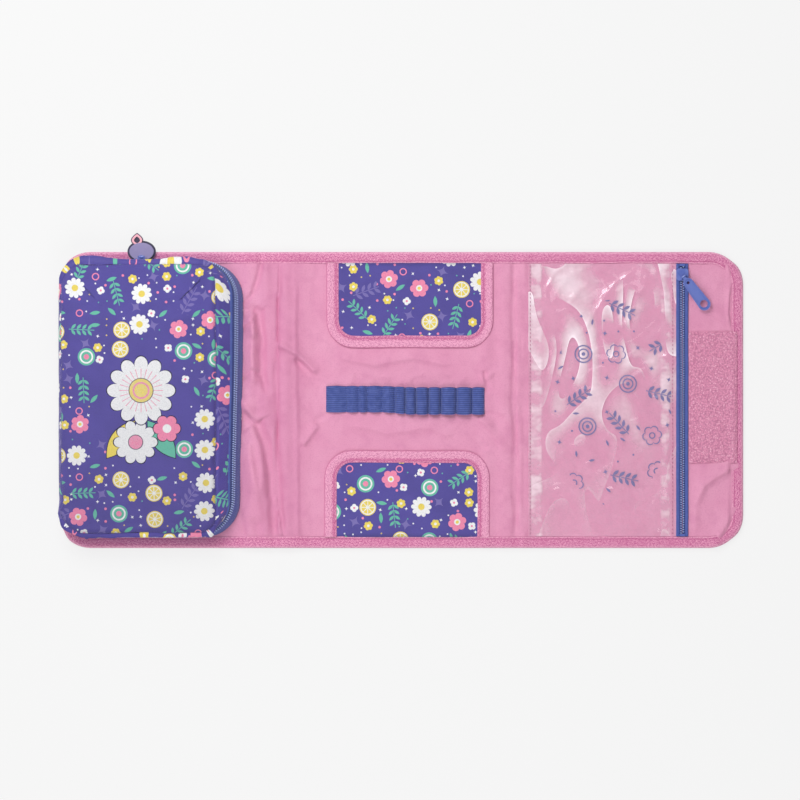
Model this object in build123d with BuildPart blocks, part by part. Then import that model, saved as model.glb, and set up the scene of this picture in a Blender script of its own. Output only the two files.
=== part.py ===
from build123d import *
import os
from math import cos, radians, sin

# Expandable pencil case laid open and flat, in millimetres.
# X runs along the case from the pouch to the flap, Y across it, and Z up.
# The origin lies under the middle of the open case, on the surface that it rests on.

# Sections along the open case, from the pouch's end to the flap's end
pouch_panel_width = 146.0
left_spine_width = 31.0
centre_panel_width = 148.0
right_spine_width = 39.0
flap_panel_width = 142.0
case_height = 219.0
case_corner_radius = 24.5

# Layers of the panels
outer_cloth = 0.6
core_thickness = 1.4
lining_cloth = 0.6
binding_cloth = 0.6
binding_width = 8.5

# Gaps between sections that fold on each other
fold_clearance = 0.3
layer_clearance = 0.3

# Zipped pouch: its outline where it is sewn down, at the zip and at the shoulder
pouch_zip_rise = 11.4
pouch_shoulder_rise = 11.4
pouch_cover_thickness = 1.7
pouch_lining_thickness = 0.8
pouch_wall = 1.2
base_side_inset = 0.3
base_left_inset = 0.8
base_right_inset = 8.6
base_left_radius = 15.0
base_right_radius = 26.0
zip_left_inset = 0.7
zip_right_inset = 14.6
zip_bottom_inset = 8.2
zip_top_inset = 7.9
zip_left_radius = 18.0
zip_right_radius = 27.0
shoulder_left_inset = 2.4
shoulder_right_inset = 26.4
shoulder_bottom_inset = 8.6
shoulder_top_inset = 5.4
shoulder_left_radius = 18.0
shoulder_right_radius = 20.0
cover_edge_round = 1.5

# Zip of the pouch
pouch_tape_width = 5.0
pouch_tape_thickness = 0.8
pouch_coil_width = 1.1
pouch_coil_depth = 0.8
pouch_zip_end = 21.0
pouch_stop_length = 2.5
pouch_stop_depth = 1.1
pouch_stop_gap = 0.5

# Slider of the pouch's zip
pouch_slider_inset = 62.4
pouch_slider_length = 10.0
pouch_slider_height = 8.0
pouch_slider_plate = 1.2
charm_bar_radius = 0.6
charm_bar_length = 5.2
charm_bar_drop = 3.0
charm_bar_reach = 1.5
charm_ear_width = 0.8
charm_ear_height = 1.8

# Charm puller
charm_width = 21.0
charm_depth = 16.0
charm_rim = 1.5
charm_backing_thickness = 1.2
charm_disc_thickness = 1.8
charm_leaf_thickness = 1.2
charm_floor_height = 4.4
charm_wall_gap = 1.0
charm_leaf_width = 9.0
charm_leaf_length = 10.0
charm_leaf_band = 1.6
charm_leaf_shift = 3.4
charm_leaf_overlap = 4.2
charm_link_thickness = 1.2
charm_link_wall = 0.5
pin_clearance = 0.08

# Pockets of the centre panel
pocket_band = 9.0
pocket_band_rise = 1.8
pocket_mouth = 0.4
pocket_cloth = 0.8
pocket_corner_radius = 20.0
upper_pocket_left_inset = 22.0
upper_pocket_right_inset = 2.7
upper_pocket_drop = 71.0
lower_pocket_left_inset = 20.5
lower_pocket_right_inset = 5.4
lower_pocket_rise = 72.1

# Pencil elastic
elastic_left_inset = 21.7
elastic_right_inset = 9.1
elastic_width = 20.0
elastic_cloth = 0.9
elastic_rise = 4.0
elastic_loops = 12
elastic_seam = 1.4

# Clear pocket of the flap and its zip
film_thickness = 0.4
film_lift = 0.3
film_margin = 14.0
flap_zip_inset = 44.0
flap_tape_width = 9.0
flap_tape_cloth = 0.6
flap_coil_width = 1.3
flap_coil_height = 1.0
flap_coil_gap = 0.2
flap_zip_end_gap = 0.2
flap_stop_length = 1.8
flap_stop_width = 4.0
flap_stop_height = 1.2

# Slider of the flap's zip
flap_slider_inset = 16.8
flap_slider_length = 9.0
flap_slider_width = 9.0
flap_slider_plate = 0.8
flap_slider_cheek = 1.2
tab_turn = 37.0
tab_bar_radius = 0.5
tab_bar_length = 4.6
tab_bar_rise = 1.2
tab_bar_back = 1.6
tab_bar_aside = 0.8
tab_ear_width = 0.8
tab_ear_depth = 1.4
tab_eye_wall = 0.37

# Pull tab
tab_length = 30.0
tab_root_radius = 3.7
tab_end_radius = 4.6
tab_thickness = 1.0
tab_rim = 0.9
tab_recess = 0.25
tab_neck_length = 2.2
tab_hole_radius = 2.8
tab_hole_edge = 5.0
tab_slot_radius = 1.1
tab_slot_place = 5.6

# Hook patch and the loop patch that it closes on
hook_patch_left_inset = 39.3
hook_patch_right_inset = 3.6
hook_patch_top_inset = 59.0
hook_patch_bottom_inset = 62.9
hook_patch_thickness = 1.8

# Places worked out from the sizes above
case_length = pouch_panel_width + left_spine_width + centre_panel_width + right_spine_width + flap_panel_width
case_left = -case_length / 2
case_right = case_length / 2
case_top = case_height / 2
pouch_fold = case_left + pouch_panel_width
left_fold = pouch_fold + left_spine_width
right_fold = left_fold + centre_panel_width
flap_fold = right_fold + right_spine_width
pouch_slider_x = case_left + pouch_slider_inset
upper_pocket_left = left_fold + upper_pocket_left_inset
upper_pocket_right = right_fold - upper_pocket_right_inset
upper_pocket_edge = case_top - upper_pocket_drop
lower_pocket_left = left_fold + lower_pocket_left_inset
lower_pocket_right = right_fold - lower_pocket_right_inset
lower_pocket_edge = -case_top + lower_pocket_rise
elastic_left = left_fold + elastic_left_inset
elastic_right = right_fold - elastic_right_inset
flap_slider_y = case_top - flap_slider_inset
hook_patch_top = case_top - hook_patch_top_inset
hook_patch_bottom = -case_top + hook_patch_bottom_inset
core_bottom = outer_cloth
lining_bottom = core_bottom + core_thickness
lining_top = lining_bottom + lining_cloth
binding_top = lining_top + binding_cloth
binding_edge = case_top - binding_width
fold_half_gap = fold_clearance / 2
binding_fold_gap = binding_cloth + fold_half_gap
film_fold_gap = film_lift + film_thickness + fold_half_gap


def save(piece, node):
    """Name a finished piece after its node and write it."""
    piece.part.label = node
    export_step(piece.part, f"parts/{node}.step")


# Panels

def draw_case_outline(inset):
    """Draw the open case's rounded outline, drawn in by the inset."""
    with BuildSketch(mode=Mode.PRIVATE) as outline:
        Rectangle(case_length - 2 * inset, case_height - 2 * inset)
        fillet(outline.vertices(), case_corner_radius - inset)
    return outline.sketch


def section_layer(x_from, x_to, inset, bottom, thickness):
    """One flat layer of a section of the case."""
    with BuildPart() as layer:
        with BuildSketch(Plane.XY.offset(bottom)):
            add(draw_case_outline(inset))
            with Locations(((x_from + x_to) / 2, 0)):
                Rectangle(x_to - x_from, case_height, mode=Mode.INTERSECT)
        extrude(amount=thickness)
    return layer


def section_binding(x_from, x_to):
    """The folded tape round the raw edge of a section: an under leg, the edge and an upper leg."""
    legs = (
        (0, outer_cloth, binding_width),
        (outer_cloth, lining_top, binding_cloth),
        (lining_top, binding_top, binding_width),
    )
    with BuildPart() as binding:
        for bottom, top, depth in legs:
            with BuildSketch(Plane.XY.offset(bottom)):
                add(draw_case_outline(0))
                add(draw_case_outline(depth), mode=Mode.SUBTRACT)
                with Locations(((x_from + x_to) / 2, 0)):
                    Rectangle(x_to - x_from, case_height, mode=Mode.INTERSECT)
            extrude(amount=top - bottom)
    return binding


sections = {
    "pouch": (case_left, pouch_fold, "board"),
    "left_spine": (pouch_fold, left_fold, "foam"),
    "centre": (left_fold, right_fold, "board"),
    "right_spine": (right_fold, flap_fold, "foam"),
    "flap": (flap_fold, case_right, "board"),
}

for section, (start, end, core) in sections.items():
    layer_start = start if start == case_left else start + fold_half_gap
    layer_end = end if end == case_right else end - fold_half_gap
    binding_start = start if start == case_left else start + binding_fold_gap
    binding_end = end if end == case_right else end - binding_fold_gap

    if section != "pouch":
        outer = section_layer(layer_start, layer_end, binding_width, 0, outer_cloth)
        save(outer, f"{section}_outer_fabric")
    save(section_layer(layer_start, layer_end, binding_cloth, core_bottom, core_thickness), f"{section}_{core}")
    save(section_layer(layer_start, layer_end, binding_cloth, lining_bottom, lining_cloth), f"{section}_lining")
    save(section_binding(binding_start, binding_end), f"{section}_binding")


# Hook patch on the flap, and the loop patch that lies where it lands on the folded pouch's back

hook_left = case_right - hook_patch_left_inset
hook_right = case_right - hook_patch_right_inset
hook_height = hook_patch_top - hook_patch_bottom
hook_middle_y = (hook_patch_top + hook_patch_bottom) / 2
hook_over_binding = case_right - binding_width

with BuildPart() as hook_patch:
    with BuildSketch(Plane.XY.offset(lining_top)):
        with Locations(((hook_left + hook_over_binding) / 2, hook_middle_y)):
            Rectangle(hook_over_binding - hook_left, hook_height)
    extrude(amount=binding_cloth)
    with BuildSketch(Plane.XY.offset(binding_top)):
        with Locations(((hook_left + hook_right) / 2, hook_middle_y)):
            Rectangle(hook_right - hook_left, hook_height)
    extrude(amount=hook_patch_thickness - binding_cloth)
save(hook_patch, "hook_patch")

loop_left = pouch_fold + left_fold - (right_fold + flap_fold - hook_left)
loop_right = pouch_fold + left_fold - (right_fold + flap_fold - hook_over_binding)
loop_middle_x = (loop_left + loop_right) / 2

with BuildPart() as loop_patch:
    with BuildSketch():
        with Locations((loop_middle_x, hook_middle_y)):
            Rectangle(loop_right - loop_left, hook_height)
    extrude(amount=outer_cloth)
save(loop_patch, "loop_patch")

with BuildPart() as pouch_outer_fabric:
    with BuildSketch():
        add(draw_case_outline(binding_width))
        with Locations(((case_left + pouch_fold - fold_half_gap) / 2, 0)):
            Rectangle(pouch_fold - fold_half_gap - case_left, case_height, mode=Mode.INTERSECT)
        with Locations((loop_middle_x, hook_middle_y)):
            Rectangle(loop_right - loop_left, hook_height, mode=Mode.SUBTRACT)
    extrude(amount=outer_cloth)
save(pouch_outer_fabric, "pouch_outer_fabric")


# Zipped pouch: rings between rounded outlines that are known at three heights

zip_level = lining_top + pouch_zip_rise
shoulder_level = zip_level + pouch_shoulder_rise
wall_half_gap = layer_clearance / 2

pouch_outlines = (
    (
        lining_top,
        case_left + binding_width + base_left_inset,
        pouch_fold - base_right_inset,
        -binding_edge + base_side_inset,
        binding_edge - base_side_inset,
        base_left_radius,
        base_right_radius,
    ),
    (
        zip_level,
        case_left + zip_left_inset,
        pouch_fold - zip_right_inset,
        -case_top + zip_bottom_inset,
        case_top - zip_top_inset,
        zip_left_radius,
        zip_right_radius,
    ),
    (
        shoulder_level,
        case_left + shoulder_left_inset,
        pouch_fold - shoulder_right_inset,
        -case_top + shoulder_bottom_inset,
        case_top - shoulder_top_inset,
        shoulder_left_radius,
        shoulder_right_radius,
    ),
)


def pouch_sides(level):
    """Left, right, bottom, top and the two corner radii of the pouch's outside at a height."""
    lower, upper = pouch_outlines[:2] if level <= zip_level else pouch_outlines[1:]
    share = (level - lower[0]) / (upper[0] - lower[0])
    return tuple(start + share * (end - start) for start, end in zip(lower[1:], upper[1:]))


def draw_pouch_outline(level, inset):
    """Draw the pouch's rounded outline at a height, drawn in by the inset."""
    left, right, bottom, top, left_radius, right_radius = pouch_sides(level)
    with BuildSketch(mode=Mode.PRIVATE) as outline:
        with Locations(((left + right) / 2, (bottom + top) / 2)):
            Rectangle(right - left - 2 * inset, top - bottom - 2 * inset)
        fillet(outline.vertices().group_by(Axis.X)[0], left_radius - inset)
        fillet(outline.vertices().group_by(Axis.X)[-1], right_radius - inset)
    return outline.sketch


def pouch_ring(bottom, top, outer_inset, inner_inset):
    """A sloping band of the pouch's side between two heights."""
    with BuildPart() as ring:
        for level in (bottom, top):
            with BuildSketch(Plane.XY.offset(level)):
                add(draw_pouch_outline(level, outer_inset))
        loft(ruled=True)
        for level in (bottom, top):
            with BuildSketch(Plane.XY.offset(level)):
                add(draw_pouch_outline(level, inner_inset))
        loft(ruled=True, mode=Mode.SUBTRACT)
    return ring


def zip_window(x_from, x_to, bottom, top):
    """A block round the pouch between two places along it and two heights."""
    with BuildPart(mode=Mode.PRIVATE) as window:
        with BuildSketch(Plane.XY.offset(bottom)):
            with Locations(((x_from + x_to) / 2, 0)):
                Rectangle(x_to - x_from, 2 * case_height)
        extrude(amount=top - bottom)
    return window.part


zip_end_x = case_left + pouch_zip_end
coil_start_x = zip_end_x + pouch_stop_length + pouch_stop_gap
lower_rim = zip_level - wall_half_gap
upper_rim = zip_level + wall_half_gap
lower_tape_bottom = zip_level - pouch_tape_width
upper_tape_top = zip_level + pouch_tape_width

with BuildPart() as pouch_lower_wall:
    add(pouch_ring(lining_top, lower_rim, 0, pouch_wall).part)
    add(zip_window(zip_end_x, pouch_fold, lower_tape_bottom, zip_level), mode=Mode.SUBTRACT)
save(pouch_lower_wall, "pouch_lower_wall")

with BuildPart() as pouch_lower_zip_tape:
    add(pouch_ring(lower_tape_bottom, lower_rim, 0, pouch_tape_thickness).part)
    add(zip_window(zip_end_x, pouch_fold, lower_tape_bottom, zip_level), mode=Mode.INTERSECT)
save(pouch_lower_zip_tape, "pouch_lower_zip_tape")

with BuildPart() as pouch_lower_zip_coil:
    add(pouch_ring(lower_rim - pouch_coil_width, lower_rim, -pouch_coil_depth, 0).part)
    add(zip_window(coil_start_x, pouch_fold, lower_tape_bottom, zip_level), mode=Mode.INTERSECT)
save(pouch_lower_zip_coil, "pouch_lower_zip_coil")

with BuildPart() as pouch_zip_stops:
    add(pouch_ring(lower_rim - pouch_coil_width, lower_rim, -pouch_stop_depth, 0).part)
    add(zip_window(zip_end_x, zip_end_x + pouch_stop_length, lower_tape_bottom, zip_level), mode=Mode.INTERSECT)
save(pouch_zip_stops, "pouch_zip_stops")

with BuildPart() as pouch_upper_wall:
    add(pouch_ring(upper_rim, shoulder_level, 0, pouch_wall).part)
    add(zip_window(zip_end_x, pouch_fold, zip_level, upper_tape_top), mode=Mode.SUBTRACT)
save(pouch_upper_wall, "pouch_upper_wall")

with BuildPart() as pouch_upper_zip_tape:
    add(pouch_ring(upper_rim, upper_tape_top, 0, pouch_tape_thickness).part)
    add(zip_window(zip_end_x, pouch_fold, zip_level, upper_tape_top), mode=Mode.INTERSECT)
save(pouch_upper_zip_tape, "pouch_upper_zip_tape")

with BuildPart() as pouch_upper_zip_coil:
    add(pouch_ring(upper_rim, upper_rim + pouch_coil_width, -pouch_coil_depth, 0).part)
    add(zip_window(coil_start_x, pouch_fold, zip_level, upper_tape_top), mode=Mode.INTERSECT)
save(pouch_upper_zip_coil, "pouch_upper_zip_coil")

with BuildPart() as pouch_front_cover:
    with BuildSketch(Plane.XY.offset(shoulder_level)):
        add(draw_pouch_outline(shoulder_level, 0))
    extrude(amount=pouch_cover_thickness)
    fillet(pouch_front_cover.faces().sort_by(Axis.Z)[-1].edges(), cover_edge_round)
save(pouch_front_cover, "pouch_front_cover")

with BuildPart() as pouch_cover_lining:
    with BuildSketch(Plane.XY.offset(shoulder_level - pouch_lining_thickness)):
        add(draw_pouch_outline(shoulder_level - pouch_lining_thickness, pouch_wall))
    extrude(amount=pouch_lining_thickness)
    with BuildSketch(Plane.XY.offset(shoulder_level - pouch_lining_thickness)):
        add(draw_pouch_outline(shoulder_level, pouch_wall))
    extrude(amount=pouch_lining_thickness, mode=Mode.INTERSECT)
save(pouch_cover_lining, "pouch_cover_lining")


# Slider of the pouch's zip: a plate that runs outside the coils on the top side, with a bar for the charm

coil_crest_y = pouch_sides(upper_rim + pouch_coil_width)[3] + pouch_coil_depth
slider_plate_y = coil_crest_y + layer_clearance
slider_face_y = slider_plate_y + pouch_slider_plate
charm_eye_radius = charm_bar_radius + pin_clearance + charm_link_wall
charm_link_half = charm_bar_length / 2 - charm_ear_width - layer_clearance
charm_bar_y = slider_face_y + charm_bar_reach
charm_bar_z = zip_level - charm_bar_drop
charm_ear_x = (charm_bar_length - charm_ear_width) / 2

with BuildPart() as pouch_zip_slider:
    with BuildSketch(Plane.XZ.offset(-slider_plate_y)):
        with Locations((pouch_slider_x, zip_level)):
            RectangleRounded(pouch_slider_length, pouch_slider_height, pouch_slider_height / 3)
    extrude(amount=-pouch_slider_plate)
    with BuildSketch(Plane.XZ.offset(-slider_face_y)):
        with Locations(
            (pouch_slider_x - charm_ear_x, charm_bar_z),
            (pouch_slider_x + charm_ear_x, charm_bar_z),
        ):
            Rectangle(charm_ear_width, charm_ear_height)
    extrude(amount=-charm_bar_reach - charm_bar_radius)
    with BuildSketch(Plane.YZ.offset(pouch_slider_x)):
        with Locations((charm_bar_y, charm_bar_z)):
            Circle(charm_bar_radius)
    extrude(amount=charm_ear_x, both=True)
save(pouch_zip_slider, "pouch_zip_slider")


# Charm puller, lying level under the slider

charm_middle_y = pouch_sides(lining_top)[3] + charm_wall_gap + charm_depth / 2
charm_top_y = charm_middle_y + charm_depth / 2
charm_backing_top = charm_floor_height + charm_backing_thickness
charm_disc_top = charm_backing_top + charm_disc_thickness
leaf_x = pouch_slider_x - charm_leaf_shift
leaf_root_y = charm_top_y - charm_leaf_overlap
leaf_tip_y = leaf_root_y + charm_leaf_length


def draw_leaf(inset):
    """Draw a pointed leaf outline standing on the charm's rim, drawn in by the inset."""
    half_width = charm_leaf_width / 2 - inset
    root = (leaf_x, leaf_root_y + inset)
    tip = (leaf_x, leaf_tip_y - inset * charm_leaf_length / charm_leaf_width)
    belly_y = leaf_root_y + charm_leaf_length * 2 / 5
    with BuildSketch(mode=Mode.PRIVATE) as leaf:
        with BuildLine():
            Spline(root, (leaf_x + half_width, belly_y), tip)
            Spline(tip, (leaf_x - half_width, belly_y), root)
        make_face()
    return leaf.sketch


with BuildPart() as charm_backing:
    with BuildSketch(Plane.XY.offset(charm_floor_height)):
        with Locations((pouch_slider_x, charm_middle_y)):
            Ellipse(charm_width / 2, charm_depth / 2)
        add(draw_leaf(0))
    extrude(amount=charm_backing_thickness)
save(charm_backing, "charm_backing")

with BuildPart() as charm_disc:
    with BuildSketch(Plane.XY.offset(charm_backing_top)):
        with Locations((pouch_slider_x, charm_middle_y)):
            Ellipse(charm_width / 2 - charm_rim, charm_depth / 2 - charm_rim)
    extrude(amount=charm_disc_thickness)
save(charm_disc, "charm_disc")

with BuildPart() as charm_leaf:
    with BuildSketch(Plane.XY.offset(charm_backing_top)):
        add(draw_leaf(charm_rim / 2))
        add(draw_leaf(charm_rim / 2 + charm_leaf_band), mode=Mode.SUBTRACT)
        with Locations((pouch_slider_x, charm_middle_y)):
            Ellipse(charm_width / 2 - charm_rim, charm_depth / 2 - charm_rim, mode=Mode.SUBTRACT)
    extrude(amount=charm_leaf_thickness)
save(charm_leaf, "charm_leaf")

with BuildPart() as charm_link:
    with BuildSketch(Plane.YZ.offset(pouch_slider_x)):
        with Locations((charm_bar_y, charm_bar_z)):
            Circle(charm_eye_radius)
        with Locations((charm_bar_y, (charm_bar_z + charm_disc_top) / 2)):
            Rectangle(charm_link_thickness, charm_bar_z - charm_disc_top)
        with Locations((charm_bar_y, charm_bar_z)):
            Circle(charm_bar_radius + pin_clearance, mode=Mode.SUBTRACT)
    extrude(amount=charm_link_half, both=True)
save(charm_link, "charm_link")


# Pockets of the centre panel: a printed cloth panel with a bound edge, open towards the middle

pocket_seam_y = binding_edge - base_side_inset


def draw_pocket(left, right, edge, inset):
    """Draw a pocket from the case's edge to its free edge, with both free corners rounded."""
    seam_y = pocket_seam_y if edge > 0 else -pocket_seam_y
    free_y = edge + inset if edge > 0 else edge - inset
    with BuildSketch(mode=Mode.PRIVATE) as outline:
        with Locations(((left + right) / 2, (seam_y + free_y) / 2)):
            Rectangle(right - left - 2 * inset, abs(seam_y - free_y))
        free_corners = outline.vertices().sort_by(Axis.Y)
        free_corners = free_corners[:2] if edge > 0 else free_corners[-2:]
        fillet(free_corners, pocket_corner_radius - inset)
    return outline.sketch


pockets = {
    "upper_pocket": (upper_pocket_left, upper_pocket_right, upper_pocket_edge),
    "lower_pocket": (lower_pocket_left, lower_pocket_right, lower_pocket_edge),
}

for pocket, (left, right, edge) in pockets.items():
    mouth_width = right - left - 2 * pocket_band
    with BuildPart() as pocket_panel:
        with BuildSketch(Plane.XY.offset(lining_top + pocket_mouth)):
            add(draw_pocket(left, right, edge, pocket_band))
        extrude(amount=pocket_cloth)
    save(pocket_panel, f"{pocket}_panel")

    with BuildPart() as pocket_binding:
        with BuildSketch(Plane.XY.offset(lining_top)):
            add(draw_pocket(left, right, edge, 0))
            add(draw_pocket(left, right, edge, pocket_band), mode=Mode.SUBTRACT)
        extrude(amount=pocket_band_rise)
        with BuildSketch(Plane.XY.offset(lining_top)):
            with Locations(((left + right) / 2, edge)):
                Rectangle(mouth_width - 2 * pocket_band, 2 * pocket_corner_radius)
        extrude(amount=pocket_mouth, mode=Mode.SUBTRACT)
    save(pocket_binding, f"{pocket}_binding")


# Pencil elastic: arches of webbing between seams that are sewn to the lining

loop_pitch = (elastic_right - elastic_left) / elastic_loops
loop_half_span = (loop_pitch - elastic_seam) / 2

with BuildPart() as pencil_elastic:
    with BuildSketch(Plane.XZ):
        for loop in range(elastic_loops):
            middle = elastic_left + (loop + 1 / 2) * loop_pitch
            with BuildLine():
                ThreePointArc(
                    (middle - loop_half_span, lining_top),
                    (middle, lining_top + elastic_rise),
                    (middle + loop_half_span, lining_top),
                )
                Line((middle + loop_half_span, lining_top), (middle - loop_half_span, lining_top))
            make_face()
        for seam in range(elastic_loops + 1):
            seam_x = elastic_left + seam * loop_pitch
            seam_from = max(seam_x - elastic_seam, elastic_left)
            seam_to = min(seam_x + elastic_seam, elastic_right)
            with Locations(((seam_from + seam_to) / 2, lining_top + elastic_cloth / 2)):
                Rectangle(seam_to - seam_from, elastic_cloth)
        for loop in range(elastic_loops):
            middle = elastic_left + (loop + 1 / 2) * loop_pitch
            with BuildLine():
                ThreePointArc(
                    (middle - loop_half_span + elastic_cloth, lining_top),
                    (middle, lining_top + elastic_rise - elastic_cloth),
                    (middle + loop_half_span - elastic_cloth, lining_top),
                )
                Line(
                    (middle + loop_half_span - elastic_cloth, lining_top),
                    (middle - loop_half_span + elastic_cloth, lining_top),
                )
            make_face(mode=Mode.SUBTRACT)
    extrude(amount=elastic_width / 2, both=True)
save(pencil_elastic, "pencil_elastic")


# Clear film pocket: a margin on the spine and the sheet on the flap, which ends at the zip

flap_zip_x = case_right - flap_zip_inset
film_half_height = binding_edge - flap_zip_end_gap
film_end_x = flap_zip_x - flap_tape_width / 2

films = {
    "clear_pocket_margin": (flap_fold - film_margin, flap_fold - film_fold_gap),
    "clear_pocket_sheet": (flap_fold + film_fold_gap, film_end_x),
}

for film, (start, end) in films.items():
    with BuildPart() as clear_film:
        with BuildSketch(Plane.XY.offset(lining_top + film_lift)):
            with Locations(((start + end) / 2, 0)):
                Rectangle(end - start, 2 * film_half_height)
        extrude(amount=film_thickness)
    save(clear_film, film)


# Zip of the flap: two tape halves, each with its coil, and the stops at both ends

tape_top = lining_top + flap_tape_cloth
coil_top = tape_top + flap_coil_height
tape_half_width = (flap_tape_width - flap_coil_gap) / 2

for side, direction in (("left", -1), ("right", 1)):
    tape_middle = flap_zip_x + direction * (flap_coil_gap + tape_half_width) / 2
    coil_middle = flap_zip_x + direction * (flap_coil_gap + flap_coil_width) / 2
    with BuildPart() as flap_zip_tape:
        with BuildSketch(Plane.XY.offset(lining_top)):
            with Locations((tape_middle, 0)):
                Rectangle(tape_half_width, 2 * film_half_height)
        extrude(amount=flap_tape_cloth)
    save(flap_zip_tape, f"flap_zip_tape_{side}")

    stop_room = flap_stop_length + flap_zip_end_gap
    with BuildPart() as flap_zip_coil:
        with BuildSketch(Plane.XY.offset(tape_top)):
            with Locations((coil_middle, 0)):
                Rectangle(flap_coil_width, 2 * (film_half_height - stop_room))
        extrude(amount=flap_coil_height)
    save(flap_zip_coil, f"flap_zip_coil_{side}")

stop_y = film_half_height - flap_stop_length / 2

with BuildPart() as flap_zip_stops:
    with BuildSketch(Plane.XY.offset(tape_top)):
        with Locations((flap_zip_x, stop_y), (flap_zip_x, -stop_y)):
            Rectangle(flap_stop_width, flap_stop_length)
    extrude(amount=flap_stop_height)
save(flap_zip_stops, "flap_zip_stops")


# Slider of the flap's zip: a channel over the coils, with a bar for the pull tab on two ears

slider_top_bottom = coil_top + layer_clearance
slider_top = slider_top_bottom + flap_slider_plate
cheek_bottom = tape_top + layer_clearance
cheek_x = (flap_slider_width - flap_slider_cheek) / 2
tab_bar_x = flap_zip_x + tab_bar_aside
tab_bar_y = flap_slider_y - tab_bar_back
tab_bar_z = slider_top + tab_bar_rise
tab_along = Vector(sin(radians(tab_turn)), -cos(radians(tab_turn)), 0)
tab_across = Vector(cos(radians(tab_turn)), sin(radians(tab_turn)), 0)
tab_plane = Plane(origin=(tab_bar_x, tab_bar_y, tab_bar_z), x_dir=tab_along, z_dir=(0, 0, 1))
bar_plane = Plane(origin=(tab_bar_x, tab_bar_y, tab_bar_z), x_dir=tab_along, z_dir=tab_across)
tab_ear_place = (tab_bar_length - tab_ear_width) / 2

with BuildPart() as flap_zip_slider:
    with BuildSketch(Plane.XY.offset(slider_top_bottom)):
        with Locations((flap_zip_x, flap_slider_y)):
            RectangleRounded(flap_slider_width, flap_slider_length, flap_slider_width / 4)
    extrude(amount=flap_slider_plate)
    with BuildSketch(Plane.XY.offset(cheek_bottom)):
        with Locations((flap_zip_x - cheek_x, flap_slider_y), (flap_zip_x + cheek_x, flap_slider_y)):
            Rectangle(flap_slider_cheek, flap_slider_length / 2)
    extrude(amount=slider_top_bottom - cheek_bottom)
    with BuildSketch(tab_plane.offset(-tab_bar_rise)):
        with Locations((0, -tab_ear_place), (0, tab_ear_place)):
            Rectangle(tab_ear_depth, tab_ear_width)
    extrude(amount=tab_bar_rise + tab_bar_radius)
    with BuildSketch(bar_plane):
        Circle(tab_bar_radius)
    extrude(amount=tab_ear_place, both=True)
save(flap_zip_slider, "flap_zip_slider")


# Pull tab, turned aside as it lies

tab_eye_radius = tab_bar_radius + pin_clearance + tab_eye_wall
tab_neck_width = tab_bar_length - 2 * tab_ear_width - 2 * layer_clearance
tab_root_place = tab_neck_length + tab_root_radius
tab_end_place = tab_length - tab_end_radius

with BuildPart() as pull_tab:
    with BuildSketch(tab_plane.offset(-tab_thickness / 2)):
        with Locations((tab_root_place, 0)):
            Circle(tab_root_radius)
        with Locations((tab_end_place, 0)):
            Circle(tab_end_radius)
        make_hull()
        with Locations((tab_neck_length, 0)):
            Rectangle(2 * tab_neck_length, tab_neck_width)
    extrude(amount=tab_thickness)
    with BuildSketch(tab_plane.offset(tab_thickness / 2 - tab_recess)):
        with Locations((tab_root_place, 0)):
            Circle(tab_root_radius - tab_rim)
        with Locations((tab_end_place, 0)):
            Circle(tab_end_radius - tab_rim)
        make_hull()
    extrude(amount=tab_recess, mode=Mode.SUBTRACT)
    with BuildSketch(bar_plane):
        Circle(tab_eye_radius)
    extrude(amount=tab_neck_width / 2, both=True)
    with BuildSketch(bar_plane):
        Circle(tab_bar_radius + pin_clearance)
    extrude(amount=tab_neck_width, both=True, mode=Mode.SUBTRACT)
    with BuildSketch(tab_plane.offset(-tab_thickness)):
        with Locations((tab_length - tab_hole_edge, 0)):
            Circle(tab_hole_radius)
        with Locations((tab_slot_place, 0)):
            Circle(tab_slot_radius)
    extrude(amount=2 * tab_thickness, mode=Mode.SUBTRACT)
save(pull_tab, "pull_tab")
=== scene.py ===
"""The looks of an expandable pencil case that lies open: its cloths, tapes, zips, clear film, print and studio."""

import logging
import math
from dataclasses import dataclass, replace
from enum import Enum
from typing import Callable, Iterator, Sequence, TypeVar, Union

import bmesh
import bpy
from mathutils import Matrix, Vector, noise


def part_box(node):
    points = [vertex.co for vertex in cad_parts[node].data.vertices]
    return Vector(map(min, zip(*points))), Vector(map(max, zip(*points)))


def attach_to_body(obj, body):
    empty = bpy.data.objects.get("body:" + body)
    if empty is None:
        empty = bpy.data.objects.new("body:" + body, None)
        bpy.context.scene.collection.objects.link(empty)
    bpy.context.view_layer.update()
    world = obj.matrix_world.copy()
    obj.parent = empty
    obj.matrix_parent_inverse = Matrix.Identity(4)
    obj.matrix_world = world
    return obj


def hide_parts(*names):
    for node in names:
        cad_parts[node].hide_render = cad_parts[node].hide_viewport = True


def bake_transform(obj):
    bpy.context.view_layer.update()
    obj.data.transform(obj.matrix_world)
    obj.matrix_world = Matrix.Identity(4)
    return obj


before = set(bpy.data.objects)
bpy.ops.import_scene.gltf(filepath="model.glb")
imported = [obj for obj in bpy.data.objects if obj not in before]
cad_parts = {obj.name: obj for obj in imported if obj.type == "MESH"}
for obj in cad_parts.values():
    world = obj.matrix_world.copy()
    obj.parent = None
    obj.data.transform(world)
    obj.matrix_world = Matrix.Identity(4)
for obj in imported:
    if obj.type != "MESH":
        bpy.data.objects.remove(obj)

log = logging.getLogger("pencil_case")
MM = 0.001
Point = tuple[float, float, float]
Rule = Callable[[float, float], Point]
FlatRule = Callable[[float, float], tuple[float, float]]
HeightRule = Callable[[float, float], float]
Bend = tuple[str, str, float, float]
Finish = bpy.types.Material
Mesh = bmesh.types.BMesh
Piece = bpy.types.Object
Socket = bpy.types.NodeSocket
Number = Union["Field", float]
Colour = Union[Point, Socket]
Item = TypeVar("Item")


# Arithmetic that several pieces share

def clamp(value: float, low: float = 0.0, high: float = 1.0) -> float:
    """Keep a value between two limits."""
    return max(low, min(high, value))


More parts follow.
